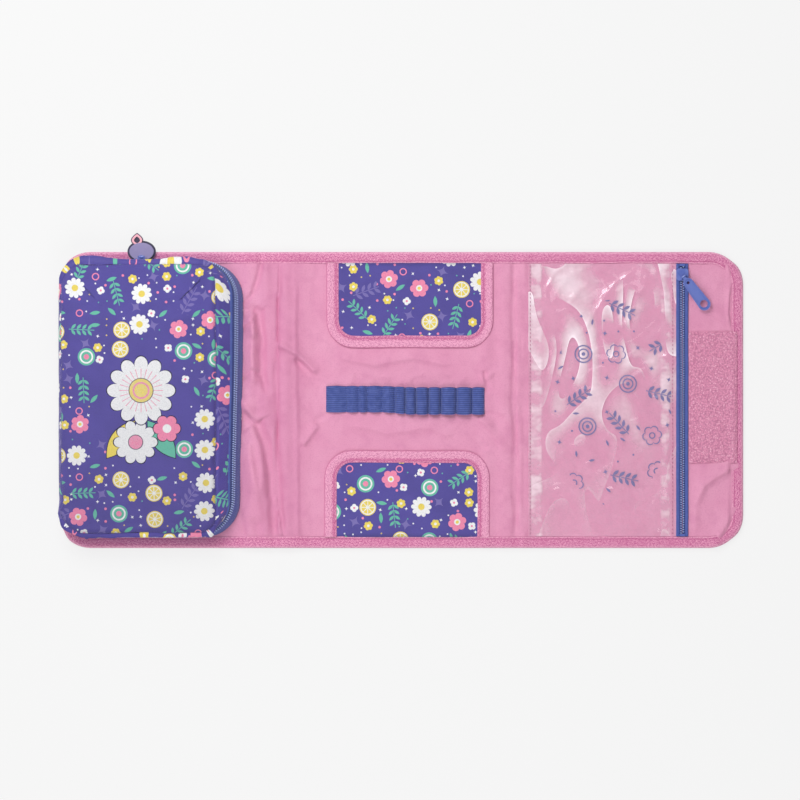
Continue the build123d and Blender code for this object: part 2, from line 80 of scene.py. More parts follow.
def smooth(low: float, high: float, value: float) -> float:
    """Rise smoothly from 0 at one value to 1 at another."""
    share = clamp((value - low) / (high - low))
    return share * share * (3 - 2 * share)


def bump_at(value: float, middle: float, width: float) -> float:
    """Give a soft hill of height 1, as wide as told at half its height."""
    return math.exp(-2.8 * ((value - middle) / width) ** 2)


def ripple(x: float, y: float, size: float, seed: float = 0.0) -> float:
    """Give smooth noise between about -1 and 1, with waves of a size in millimetres. The seed picks one of many."""
    return noise.noise(Vector((x / size, y / size, seed * 7.31)))


def pick(items: Sequence[Item], share: float) -> Item:
    """Give the item at a share of a list: the first at 0, the last at 1."""
    return items[round(share * (len(items) - 1))]


def measure(points: Sequence[tuple[float, float]]) -> list[float]:
    """Give the distance along a line of points at each of them."""
    runs = [0.0]
    for (a, b), (c, d) in zip(points, points[1:]):
        runs.append(runs[-1] + math.hypot(c - a, d - b))
    return runs


def spaced(points: list[Vector], pitch: float) -> Iterator[tuple[Vector, Vector]]:
    """Give evenly spaced places along a line.

    Args:
        points: The line in millimetres, close together.
        pitch: Distance from one place to the next in millimetres.

    Yields:
        A place, and a vector that points along the line there.
    """
    due = pitch / 2
    for start, end in zip(points, points[1:]):
        step = end - start
        run = step.length
        while run > 0 and due <= run:
            yield start + step * (due / run), step
            due += pitch
        due -= run


@dataclass(frozen=True)
class Crease:
    """A fold in soft cloth along a run of points, in millimetres: a ridge above zero, a valley below.

    Its one side is steep and its other side soft, as cloth that leans over has them.
    """

    points: tuple[tuple[float, float], ...]
    width: float
    height: float

    def lift(self, x: float, y: float) -> float:
        """Give the fold's height at a place. It fades towards both of its ends.

        Args:
            x: Place along the case in millimetres.
            y: Place across the case in millimetres.

        Returns:
            The height in millimetres.
        """
        reach = self.width * 3.0
        best, share, lit = reach, 0.0, 0.0
        last = len(self.points) - 1
        for number, ((a, b), (c, d)) in enumerate(zip(self.points, self.points[1:])):
            if not (min(a, c) - reach < x < max(a, c) + reach and min(b, d) - reach < y < max(b, d) + reach):
                continue
            along = clamp(((x - a) * (c - a) + (y - b) * (d - b)) / ((c - a) ** 2 + (d - b) ** 2))
            off_x, off_y = x - a - (c - a) * along, y - b - (d - b) * along
            away = math.hypot(off_x, off_y)
            if away < best:
                best, share, lit = away, (number + along) / last, off_y * 0.83 - off_x * 0.55
        if best >= reach:
            return 0.0
        ends = smooth(0.0, 0.12, share) * (1 - smooth(0.88, 1.0, share))
        away = best / (self.width * (0.55 if lit * self.height < 0 else 1.45))
        return self.height * ends * math.exp(-2.4 * away ** 2 / (0.35 + away))


def fold(creases: tuple[Crease, ...], x: float, y: float) -> float:
    """Add up the heights of several folds at a place, and let the folds wander as real ones do."""
    x, y = x + 0.8 * ripple(x, y, 13.0, 91), y + 0.8 * ripple(x, y, 13.0, 92)
    return sum(crease.lift(x, y) for crease in creases)


LINING_CREASES = (
    Crease(((-87.8, 112), (-90.4, 68.5), (-91, 40.2), (-91.4, 0), (-90.6, -35.4), (-89.9, -63.7),
            (-87.8, -81.4), (-84.5, -108)), 1.4, -1.1),
    Crease(((-94, -12), (-92.9, -50), (-92.2, -72), (-89.5, -90), (-87, -104)), 1.9, 1.1),
    Crease(((-76.9, 116), (-76.6, 19), (-76.3, 0), (-75.6, -28), (-75.2, -63.8), (-75, -112)), 2.6, 0.5),
    Crease(((-114, 71.5), (-109, 67), (-107.8, 58), (-107.6, 44)), 3.4, 1.5),
    Crease(((-119, 5), (-111.4, -8.9), (-106.3, -20.7), (-103.3, -33.3), (-101.8, -51.8), (-101, -78)), 8, 1.5),
    Crease(((-77.5, 32.4), (-68, 22.4), (-60.2, 14), (-55, 11)), 2.4, -1.9),
    Crease(((-92, 42), (-75.8, 33.6), (-60, 18.5)), 3.8, 1.3),
    Crease(((-116.5, 70), (-108.3, 79.2), (-105.6, 88), (-102.8, 106)), 2.2, -1.3),
    Crease(((-114.5, 72.5), (-104.6, 65.5), (-102.2, 47.4), (-102.4, 22.5), (-98.6, 2)), 4.2, -2),
    Crease(((-112, 64), (-108.5, 50), (-108.5, 30), (-106.5, 8)), 5.5, 1.3),
    Crease(((-117.5, 51), (-108, 57.5)), 1.8, -0.9),
    Crease(((-118.5, 15), (-108.3, 23), (-101, 17.5)), 1.9, -1),
    Crease(((-118.5, -6), (-106.9, -17.7), (-99.4, -35.4), (-96.3, -53.1), (-94.4, -74), (-92.9, -104)), 6.4, -2.6),
    Crease(((-113, -30), (-107, -58), (-102.5, -92)), 8, 1.3),
    Crease(((-122.5, -76), (-114.5, -101)), 2.2, -1.1),
    Crease(((83.9, 106), (84.3, 40), (84, 0), (85.2, -30), (85.8, -106)), 3.1, -2.4),
    Crease(((88, 106), (87.6, 40), (87.6, 0), (88.8, -40), (89.2, -106)), 1.9, 1.4),
    Crease(((91.9, 104), (92.7, 30), (91.7, -10), (92, -60), (92.6, -104)), 1.8, -0.9),
    Crease(((58, -13), (66, -20), (79, -38)), 4.6, 1.3),
    Crease(((60, -8.5), (80, -13)), 3.4, -1.1),
    Crease(((46, -15), (55, -24), (66, -38)), 4, -1),
    Crease(((62.4, 22), (63.8, 14), (64.4, 5)), 2.2, -1.5),
    Crease(((60, 12), (70, 20), (82, 22)), 4.6, 0.9),
    Crease(((-63, -16), (-59, -12), (-54, -10)), 1.9, -1.3),
    Crease(((-60, -18), (-72, -34)), 4.6, 1),
    Crease(((-34, 19.5), (-20, 14.5), (-4, 13)), 3.6, -0.8),
    Crease(((8, 13), (20, 17), (40, 16)), 3.6, -0.8),
    Crease(((-48, 33), (-20, 26), (10, 31), (40, 24)), 6, 0.8),
    Crease(((-40, -18), (-8, -25), (22, -20), (40, -29)), 6, 0.7),
    Crease(((256, -46), (244.8, -50.4), (234, -56.5), (225, -63.1), (219, -77.3), (217, -108)), 8.5, 1.9),
    Crease(((262, -62), (249, -80), (238, -97), (230, -112)), 7.5, 1.7),
    Crease(((241.5, 104), (246, 90), (243.6, 76), (243, 64), (246, 48)), 1.9, 1.1),
    Crease(((214, 95), (227, 72), (244, 54)), 7.5, 0.7),
)


def lay_out(node: str) -> tuple[float, float, float, float, float, float]:
    """Give a CAD node's low and high corners in millimetres, as x, y, z, x, y, z."""
    low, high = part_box(node)
    return tuple(value / MM for value in (*low, *high))


@dataclass(frozen=True)
class CaseLayout:
    """The places that the cloth pieces are fitted to, read from the CAD nodes in model.glb, in millimetres."""

    left: float = lay_out("pouch_board")[0] - 0.6
    right: float = lay_out("flap_board")[3] + 0.6
    top: float = lay_out("centre_board")[4] + 0.6
    pouch_fold: float = (lay_out("pouch_board")[3] + lay_out("left_spine_foam")[0]) / 2
    left_fold: float = (lay_out("left_spine_foam")[3] + lay_out("centre_board")[0]) / 2
    right_fold: float = (lay_out("centre_board")[3] + lay_out("right_spine_foam")[0]) / 2
    flap_fold: float = (lay_out("right_spine_foam")[3] + lay_out("flap_board")[0]) / 2
    lining_top: float = lay_out("centre_lining")[5]
    binding_top: float = lay_out("centre_binding")[5]
    binding_width: float = 8.5
    corner_radius: float = 24.5
    left_seam: float = -90.2
    middle_seam: float = 8.0
    right_seam: float = 86.4


CASE = CaseLayout()
STITCH_SHARE = 0.68


# Meshes

def new_piece(name: str, mesh: Mesh) -> Piece:
    """Turn a finished bmesh into a smooth-shaded object at the origin.

    Args:
        name: The piece's name.
        mesh: The shape in metres, which is freed here.

    Returns:
        The new object, linked to the scene.
    """
    for edge in mesh.edges:
        edge.smooth = not edge.is_boundary
    data = bpy.data.meshes.new(name)
    mesh.to_mesh(data)
    mesh.free()
    data.polygons.foreach_set("use_smooth", [True] * len(data.polygons))
    piece = bpy.data.objects.new(name, data)
    bpy.context.scene.collection.objects.link(piece)
    return piece


def grid_sheet(columns: int, rows: int, place: Rule, flat: FlatRule | None = None, weld: float = 0.0,
               into: Mesh | None = None) -> Mesh:
    """Make a sheet of squares whose corners a rule puts in place.

    Args:
        columns: Squares along the first share.
        rows: Squares along the second share.
        place: Gives x, y and z in millimetres for two shares from 0 to 1.
        flat: Gives the map place in millimetres for the same shares. The sheet's own x and y serve if it is left out.
        weld: Corners nearer than this many millimetres become one.
        into: A mesh that the sheet is added to.

    Returns:
        The mesh that holds the sheet, in metres.
    """
    mesh = bmesh.new() if into is None else into
    mapped = mesh.loops.layers.uv.verify()
    made = bmesh.ops.create_grid(mesh, x_segments=columns, y_segments=rows, size=0.5)
    shares = {vert: (vert.co.x + 0.5, vert.co.y + 0.5) for vert in made["verts"]}
    for vert, share in shares.items():
        vert.co = Vector(place(*share)) * MM
        spot = flat(*share) if flat else (vert.co.x / MM, vert.co.y / MM)
        for loop in vert.link_loops:
            loop[mapped].uv = spot
    if weld:
        bmesh.ops.remove_doubles(mesh, verts=list(shares), dist=weld * MM)
    return mesh


def thicken(piece: Piece, thickness: float, offset: float = -1.0) -> None:
    """Give a sheet a thickness in millimetres, downwards from its face unless told otherwise."""
    wall = piece.modifiers.new("thickness", "SOLIDIFY")
    wall.thickness = thickness * MM
    wall.offset = offset


def flip_faces(mesh: Mesh) -> Mesh:
    """Turn all faces of a mesh over."""
    bmesh.ops.reverse_faces(mesh, faces=mesh.faces[:])
    return mesh


def stitch_line(mesh: Mesh, points: list[Vector], pitch: float, material: int, radius: float = 0.22) -> None:
    """Add a dashed line of stitches, each thick in the middle and let into the cloth at both ends.

    Args:
        mesh: The mesh that gets them, in metres.
        points: The line in millimetres, close together.
        pitch: Distance from one stitch to the next in millimetres.
        material: Number of the thread's material slot.
        radius: The thread's radius in millimetres.
    """
    length = pitch * STITCH_SHARE
    for middle, along in spaced(points, pitch):
        turn = along.to_track_quat("X", "Z")
        made = bmesh.ops.create_icosphere(mesh, subdivisions=1, radius=1.0)
        for vert in made["verts"]:
            local = Vector((vert.co.x * length / 2, vert.co.y * radius, vert.co.z * radius))
            vert.co = (middle + turn @ local) * MM
            for face in vert.link_faces:
                face.material_index = material


def coil_row(mesh: Mesh, points: list[Vector], outward: Vector, pitch: float, size: Vector, lean: float) -> None:
    """Add a row of rounded coil loops along a line.

    Args:
        mesh: The mesh that gets them, in metres.
        points: The line in millimetres, close together.
        outward: Direction across the zip.
        pitch: Distance from one loop to the next in millimetres.
        size: Half lengths of a loop along, across and up, in millimetres.
        lean: How much a loop leans along the line, as a share of its length across.
    """
    for middle, step in spaced(points, pitch):
        along = step.normalized()
        across = (outward + along * lean).normalized()
        along = (along - across * along.dot(across)).normalized()
        upward = along.cross(across)
        made = bmesh.ops.create_uvsphere(mesh, u_segments=8, v_segments=5, radius=1.0)
        for vert in made["verts"]:
            x, y, z = vert.co
            vert.co = (middle + along * x * size.x + across * y * size.y + upward * z * size.z) * MM


def attach(piece: Piece, finishes: list[Finish], slot: str, *nodes: str, body: str | None = None,
           across: Bend | None = None) -> Piece:
    """Dress a piece, hide the CAD nodes that it stands for, and tie it to the body that carries it; a piece that spans
    two bodies only has its place baked into its mesh.

    Args:
        piece: The finished piece.
        finishes: Its materials, in slot order.
        slot: Not used.
        nodes: The CAD nodes that it stands for.
        body: The body that it rides on.
        across: Two bodies and two X places in millimetres. When given, the piece's place is baked into its mesh instead
            of tying it to a body.

    Returns:
        The same piece.
    """
    for finish in finishes:
        piece.data.materials.append(finish)
    if across:
        first, second, start, end = across
        start * MM
        end * MM
        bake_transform(piece)
    else:
        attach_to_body(piece, body)
    if nodes:
        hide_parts(*nodes)
    log.info("%s: %d faces", piece.name, len(piece.data.polygons))
    return piece


def sew(name: str, seams: list[list[Vector]], pitch: float, thread: Finish, slot: str, radius: float = 0.22,
        body: str | None = None, across: Bend | None = None) -> Piece:
    """Make a piece that is nothing but stitches.

    Args:
        name: The piece's name.
        seams: Runs of points in millimetres.
        pitch: Distance from one stitch to the next in millimetres.
        thread: The stitches' finish.
        slot: The record's material slot.
        radius: The thread's radius in millimetres.
        body: The body that it rides on.
        across: Two bodies and two places, as attach has them.

    Returns:
        The new piece.
    """
    mesh = bmesh.new()
    for seam in seams:
        stitch_line(mesh, seam, pitch, 0, radius=radius)
    return attach(new_piece(name, mesh), [thread], slot, body=body, across=across)


# Materials: arithmetic on node sockets, and one small class per finish

@dataclass(frozen=True)
class Field:
    """A number that varies over a surface, held as the output of a node."""

    graph: "Graph"
    socket: Socket

    def __add__(self, other: Number) -> "Field":
        """Add another field or number."""
        return self.graph.math("ADD", self, other)

    def __sub__(self, other: Number) -> "Field":
        """Take another field or number away."""
        return self.graph.math("SUBTRACT", self, other)

    def __mul__(self, other: Number) -> "Field":
        """Multiply by another field or number."""
        return self.graph.math("MULTIPLY", self, other)

    def __lt__(self, other: Number) -> "Field":
        """Give 1 where this is the smaller one, else 0."""
        return self.graph.math("LESS_THAN", self, other)

    def __gt__(self, other: Number) -> "Field":
        """Give 1 where this is the larger one, else 0."""
        return self.graph.math("GREATER_THAN", self, other)

    def __abs__(self) -> "Field":
        """Drop the sign."""
        return self.graph.math("ABSOLUTE", self)

    def do(self, operation: str, *others: Number) -> "Field":
        """Apply another operation of the Math node."""
        return self.graph.math(operation, self, *others)


class Graph:
    """A material's node tree, with short ways to add nodes and join them."""

    def __init__(self, name: str) -> None:
        """Start an empty material of that name."""
        self.material = bpy.data.materials.new(name)
        self.material.use_nodes = True
        self.tree = self.material.node_tree
        self.tree.nodes.clear()

    def node(self, kind: str, settings: dict[str, str] | None = None, **inputs: object) -> bpy.types.Node:
        """Add a node.

        Args:
            kind: Its type, without the leading ShaderNode.
            settings: Properties of the node.
            inputs: Values or sockets for its inputs, with underscores for the spaces in their names.

        Returns:
            The new node.
        """
        made = self.tree.nodes.new("ShaderNode" + kind)
        for name, value in (settings or {}).items():
            setattr(made, name, value)
        for name, value in inputs.items():
            self.join(made.inputs[name.replace("_", " ")], value)
        return made

    def join(self, target: Socket, value: object) -> None:
        """Set an input to a number, a colour, a socket or a field.

        Args:
            target: The input.
            value: What it gets. A colour may leave out its alpha.
        """
        if isinstance(value, Field):
            value = value.socket
        if isinstance(value, Socket):
            self.tree.links.new(value, target)
        elif target.type == "RGBA" and len(value) == 3:
            target.default_value = (*value, 1.0)
        else:
            target.default_value = value

    def math(self, operation: str, *values: Number) -> Field:
        """Add a Math node with these inputs, and give its result."""
        made = self.node("Math", {"operation": operation})
        for target, value in zip(made.inputs, values):
            self.join(target, value)
        return Field(self, made.outputs[0])

    def split(self, vector: Socket) -> tuple[Field, Field, Field]:
        """Split a vector or colour into three fields."""
        parts = self.node("SeparateXYZ", Vector=vector)
        return tuple(Field(self, socket) for socket in parts.outputs)

    def place(self, mapped: bool = False, turn: float = 0.0) -> Socket:
        """Give the place on the piece in millimetres.

        Args:
            mapped: Read the piece's own flat map, not its place in space.
            turn: Turn about Z in degrees.

        Returns:
            The vector socket.
        """
        source = self.node("TexCoord").outputs["UV" if mapped else "Object"]
        size = 1.0 if mapped else 1 / MM
        return self.turned(source, (size, size, size), math.radians(turn))

    def turned(self, spot: Socket, scale: Point, turn: float = 0.0) -> Socket:
        """Scale a place and turn it about Z by an angle in radians."""
        return self.node("Mapping", Vector=spot, Scale=scale, Rotation=(0, 0, turn)).outputs[0]

    def waves(self, vector: Socket, size: float, detail: float = 2.0, rough: float = 0.5,
              twist: float = 0.0) -> Field:
        """Give smooth noise from 0 to 1 with waves of a size in millimetres."""
        made = self.node("TexNoise", Vector=vector, Scale=1 / size, Detail=detail, Roughness=rough, Distortion=twist)
        return Field(self, made.outputs["Fac"])

    def stripes(self, along: Field, pitch: float) -> Field:
        """Give round ribs from 0 to 1 with a pitch in millimetres."""
        return (along * (math.tau / pitch)).do("SINE") * 0.5 + 0.5

    def range(self, value: Field, low: float, high: float, to_low: float = 0.0, to_high: float = 1.0) -> Field:
        """Map the range from low to high to another, and clip at its ends."""
        made = self.node("MapRange", Value=value, From_Min=low, From_Max=high, To_Min=to_low, To_Max=to_high)
        return Field(self, made.outputs[0])

    def blend(self, first: Colour, second: Colour, share: Number) -> Socket:
        """Mix two colours by a share."""
        made = self.node("Mix", {"data_type": "RGBA"})
        for number, value in ((0, share), (6, first), (7, second)):
            self.join(made.inputs[number], value)
        return made.outputs[2]

    def relief(self, height: Field, depth: float, under: Socket | None = None) -> Socket:
        """Make a bump whose full height is the given depth in millimetres."""
        made = self.node("Bump", Height=height, Distance=depth * MM, Strength=1.0)
        if under is not None:
            self.join(made.inputs["Normal"], under)
        return made.outputs[0]

    def finish(self, colour: Colour, roughness: Number, normal: Socket | None = None, **settings: Number) -> Finish:
        """Close the tree with a Principled surface.

        Args:
            colour: Base colour, or a socket that gives it.
            roughness: Number or field.
            normal: Socket of a bump.
            settings: Other inputs of the surface, with underscores for spaces.

        Returns:
            The material.
        """
        surface = self.node("BsdfPrincipled", Base_Color=colour, Roughness=roughness, **settings)
        if normal is not None:
            self.join(surface.inputs["Normal"], normal)
        self.join(self.node("OutputMaterial").inputs["Surface"], surface.outputs[0])
        return self.material


class Tone(Enum):
    """The case's colours, as linear red, green and blue."""

    SATIN = (0.725, 0.288, 0.455)
    SATIN_SHADE = (0.560, 0.165, 0.330)
    SATIN_LIGHT = (0.860, 0.420, 0.590)
    TAPE = (0.530, 0.115, 0.275)
    TAPE_LIGHT = (0.810, 0.350, 0.530)
    TAPE_SHADE = (0.560, 0.120, 0.290)
    BLUE = (0.052, 0.088, 0.340)
    BLUE_LIGHT = (0.105, 0.150, 0.460)
    BLUE_SHADE = (0.020, 0.036, 0.180)
    VIOLET = (0.084, 0.065, 0.335)
    VIOLET_SHADE = (0.052, 0.040, 0.215)
    GHOST = (0.185, 0.150, 0.430)
    WHITE = (0.870, 0.870, 0.880)
    YELLOW = (0.830, 0.660, 0.110)
    PINK = (0.860, 0.250, 0.410)
    MINT = (0.130, 0.500, 0.365)
    SLATE = (0.190, 0.195, 0.400)
    BERRY = (0.215, 0.155, 0.330)
    NIGHT = (0.012, 0.008, 0.040)


@dataclass(frozen=True)
class Satin:
    """Pink lining: a close plain weave with a soft sheen, a little darker in patches, with painted shade over the left
    spine.
    """

    name: str = "pink_satin"
    thread: float = 0.34
    shaded_spine_middle: float = -88.0

    def make(self) -> Finish:
        """Build the material."""
        graph = Graph(self.name)
        spot = graph.place()
        x, y, _ = graph.split(spot)
        weave = graph.stripes(x, self.thread) + graph.stripes(y, self.thread)
        patch = graph.waves(spot, 24.0, 3.0)
        grain = graph.waves(spot, 0.9, 2.0)
        colour = graph.blend(Tone.SATIN.value, Tone.SATIN_LIGHT.value, graph.range(patch, 0.40, 0.75, 0.0, 0.28))
        # Darker in random patches and a fine grain; the third share is painted shade over the left spine's folds.
        for shade in (graph.range(graph.waves(spot, 10.0, 2.0), 0.50, 0.72, 0.0, 0.26),
                      graph.range(grain, 0.48, 0.74, 0.0, 0.34),
                      graph.range(abs(x - self.shaded_spine_middle), 13.0, 20.0, 0.26, 0.0)):
            colour = graph.blend(colour, Tone.SATIN_SHADE.value, shade)
        folds = graph.relief(graph.waves(graph.place(turn=34), 9.0, 4.0, 0.6), 0.75)
        return graph.finish(colour, graph.range(patch, 0.3, 0.7, 0.50, 0.40), graph.relief(weave, 0.035, folds),
                            Sheen_Weight=0.25, Sheen_Roughness=0.4, Specular_IOR_Level=0.45)


@dataclass(frozen=True)
class Grosgrain:
    """Binding tape: fine slanting ribs across it, lighter bands along it, and darker bands of painted shade in its
    groove and at its borders.

    A band is told by the place of its middle across the tape and by half its width.
    """

    name: str = "pink_binding_tape"
    rib: float = 1.5
    light_bands: tuple[tuple[float, float], ...] = ((10.4, 0.8), (17.7, 0.35))
    painted_shade_bands: tuple[tuple[float, float], ...] = ((16.7, 0.25), (18.8, 0.4))

    def make(self) -> Finish:
        """Build the material. Its map runs along the tape and across it, in millimetres."""
        graph = Graph(self.name)
        spot = graph.place(mapped=True)
        along, across, _ = graph.split(spot)
        ribs = graph.stripes(along + across * 0.75, self.rib)
        threads = graph.stripes(across, 0.42)
        speckle = graph.waves(graph.turned(spot, (0.7, 1.25, 1.0), 0.6), 1.0, 3.0, 0.6)
        cloudy = graph.waves(spot, 9.0, 2.0)
        light = graph.range(speckle + ribs * 0.06, 0.44, 0.62)
        colour = graph.blend(Tone.TAPE.value, Tone.TAPE_LIGHT.value, light)
        colour = graph.blend(colour, Tone.TAPE_SHADE.value, graph.range(cloudy, 0.50, 0.72, 0.0, 0.35))
        for middle, half in self.light_bands:
            band = graph.range(abs(across - middle), half, half + 0.6, 1.0, 0.0)
            colour = graph.blend(colour, Tone.SATIN_LIGHT.value, band * (light * 0.5 + 0.3))
        # Painted shade: dark bands in the groove by the stitches and where the tape turns down at its borders.
        for middle, half in self.painted_shade_bands:
            band = graph.range(abs(across - middle), half, half + 0.5, 0.8, 0.0)
            colour = graph.blend(colour, Tone.TAPE_SHADE.value, band)
        return graph.finish(colour, 0.62, graph.relief(ribs * 0.6 + threads * 0.3 + speckle * 1.2, 0.16),
                            Sheen_Weight=0.35, Sheen_Roughness=0.45, Specular_IOR_Level=0.3)


@dataclass(frozen=True)
class RibbedElastic:
    """Elastic webbing: rubber cords run along it, wrapped in blue thread."""

    name: str = "blue_elastic"
    cord: float = 1.45

    def make(self) -> Finish:
        """Build the material. Its map runs along the webbing and across it, in millimetres."""
        graph = Graph(self.name)
        spot = graph.place(mapped=True)
        along, across, _ = graph.split(spot)
        cords = graph.stripes(across, self.cord).do("POWER", 0.6)
        wrap = graph.stripes(along, 0.5)
        cloudy = graph.waves(spot, 4.0, 3.0)
        colour = graph.blend(Tone.BLUE_SHADE.value, Tone.BLUE.value, cords)
        colour = graph.blend(colour, Tone.BLUE_LIGHT.value, cords * graph.range(cloudy, 0.35, 0.7, 0.1, 0.95))
        return graph.finish(colour, 0.58, graph.relief(cords + wrap * 0.18, 0.30), Sheen_Weight=0.3,
                            Specular_IOR_Level=0.35)


@dataclass(frozen=True)
class ZipTape:
    """Woven blue zip tape with a herringbone of fine threads, and painted shade beside the coil."""

    name: str = "blue_zip_tape"
    painted_shade_grooves: tuple[float, ...] = (14.0, 209.0)

    def make(self) -> Finish:
        """Build the material. Its map runs along the tape and across it, in millimetres."""
        graph = Graph(self.name)
        spot = graph.place(mapped=True)
        along, across, _ = graph.split(spot)
        twill = graph.stripes(along + graph.math("PINGPONG", across, 1.1) * 0.9, 0.62)
        cloudy = graph.waves(spot, 3.0, 3.0)
        colour = graph.blend(Tone.BLUE.value, Tone.BLUE_LIGHT.value, twill * 0.45 + 0.15)
        colour = graph.blend(colour, Tone.BLUE_LIGHT.value, graph.range(cloudy, 0.45, 0.75, 0.0, 0.6))
        # Painted shade: the tape darkens in the groove beside the coil, at these places across its map.
        for middle in self.painted_shade_grooves:
            colour = graph.blend(colour, Tone.BLUE_SHADE.value, graph.range(abs(across - middle), 1.7, 2.5, 0.85, 0.0))
        return graph.finish(colour, 0.6, graph.relief(twill, 0.12), Sheen_Weight=0.25, Specular_IOR_Level=0.3)


@dataclass(frozen=True)
class Moulded:
    """A moulded or enamelled surface in one colour, with faint clouding, fine grain and worn edges."""

    name: str
    colour: Point
    worn: Point
    roughness: float = 0.4
    grain: float = 0.02
    coat: float = 0.0

    def make(self) -> Finish:
        """Build the material."""
        graph = Graph(self.name)
        spot = graph.place()
        fine = graph.waves(spot, 0.35, 3.0)
        cloudy = graph.waves(spot, 2.6, 2.0)
        edge = Field(graph, graph.node("NewGeometry").outputs["Pointiness"])
        colour = graph.blend(self.colour, self.worn, graph.range(cloudy, 0.35, 0.75, 0.0, 0.35))
        colour = graph.blend(colour, self.worn, graph.range(edge, 0.53, 0.60, 0.0, 0.5))
        return graph.finish(colour, graph.range(cloudy, 0.3, 0.7, self.roughness, self.roughness + 0.08),
                            graph.relief(fine, self.grain), Coat_Weight=self.coat, Specular_IOR_Level=0.5)


@dataclass(frozen=True)
class Thread:
    """Sewing thread: two plies twisted round each other."""

    name: str
    colour: Point
    shade: Point

    def make(self) -> Finish:
        """Build the material."""
        graph = Graph(self.name)
        x, y, z = graph.split(graph.place())
        plies = graph.stripes(x + y + z, 0.5)
        colour = graph.blend(self.shade, self.colour, plies)
        return graph.finish(colour, 0.55, graph.relief(plies, 0.08), Sheen_Weight=0.3)


@dataclass(frozen=True)
class HookTape:
    """Hook or loop fastening tape: a dense pile of stubby threads, whose sparkle is painted as pale glints on some
    tufts.
    """

    name: str
    colour: Point
    shade: Point
    light: Point
    pile: float = 1.25

    def make(self) -> Finish:
        """Build the material."""
        graph = Graph(self.name)
        spot = graph.place()
        cells = graph.node("TexVoronoi", Vector=spot, Scale=1 / self.pile)
        tuft = Field(graph, cells.outputs["Distance"])
        red, _, _ = graph.split(cells.outputs["Color"])
        fuzz = graph.waves(spot, 0.7, 3.0, 0.7)
        # Tufts darken towards their edges; some get a pale painted glint in their middles, the painted highlight of the
        # sparkle; a fine fuzz lightens at random.
        colour = graph.blend(self.colour, self.shade, graph.range(tuft, 0.25, 0.75, 0.0, 0.8))
        colour = graph.blend(colour, self.light, (red > 0.72) * graph.range(tuft, 0.45, 0.1, 0.0, 0.75))
        colour = graph.blend(colour, self.light, graph.range(fuzz, 0.55, 0.75, 0.0, 0.5))
        return graph.finish(colour, 0.55, graph.relief(fuzz - tuft * 0.8, 0.5), Sheen_Weight=0.4,
                            Specular_IOR_Level=0.5)


@dataclass(frozen=True)
class Board:
    """Hidden board and foam: pale, fibrous and dull."""

    name: str = "pale_board"

    def make(self) -> Finish:
        """Build the material."""
        graph = Graph(self.name)
        fibres = graph.waves(graph.place(), 1.2, 4.0, 0.65)
        colour = graph.blend((0.62, 0.59, 0.55), (0.46, 0.43, 0.39), graph.range(fibres, 0.4, 0.7))
        return graph.finish(colour, 0.85, graph.relief(fibres, 0.1))


# Printed cloth: flowers, leaves, rings, dots and twinkles scattered over violet

@dataclass(frozen=True)
class Scatter:
    """One scatter of motifs: the place seen from the nearest motif, where that lies, and its random number."""

    x: Field
    y: Field
    spot: Socket
    pick: Field


Kind = tuple[float, list[tuple[Field, Tone]]]


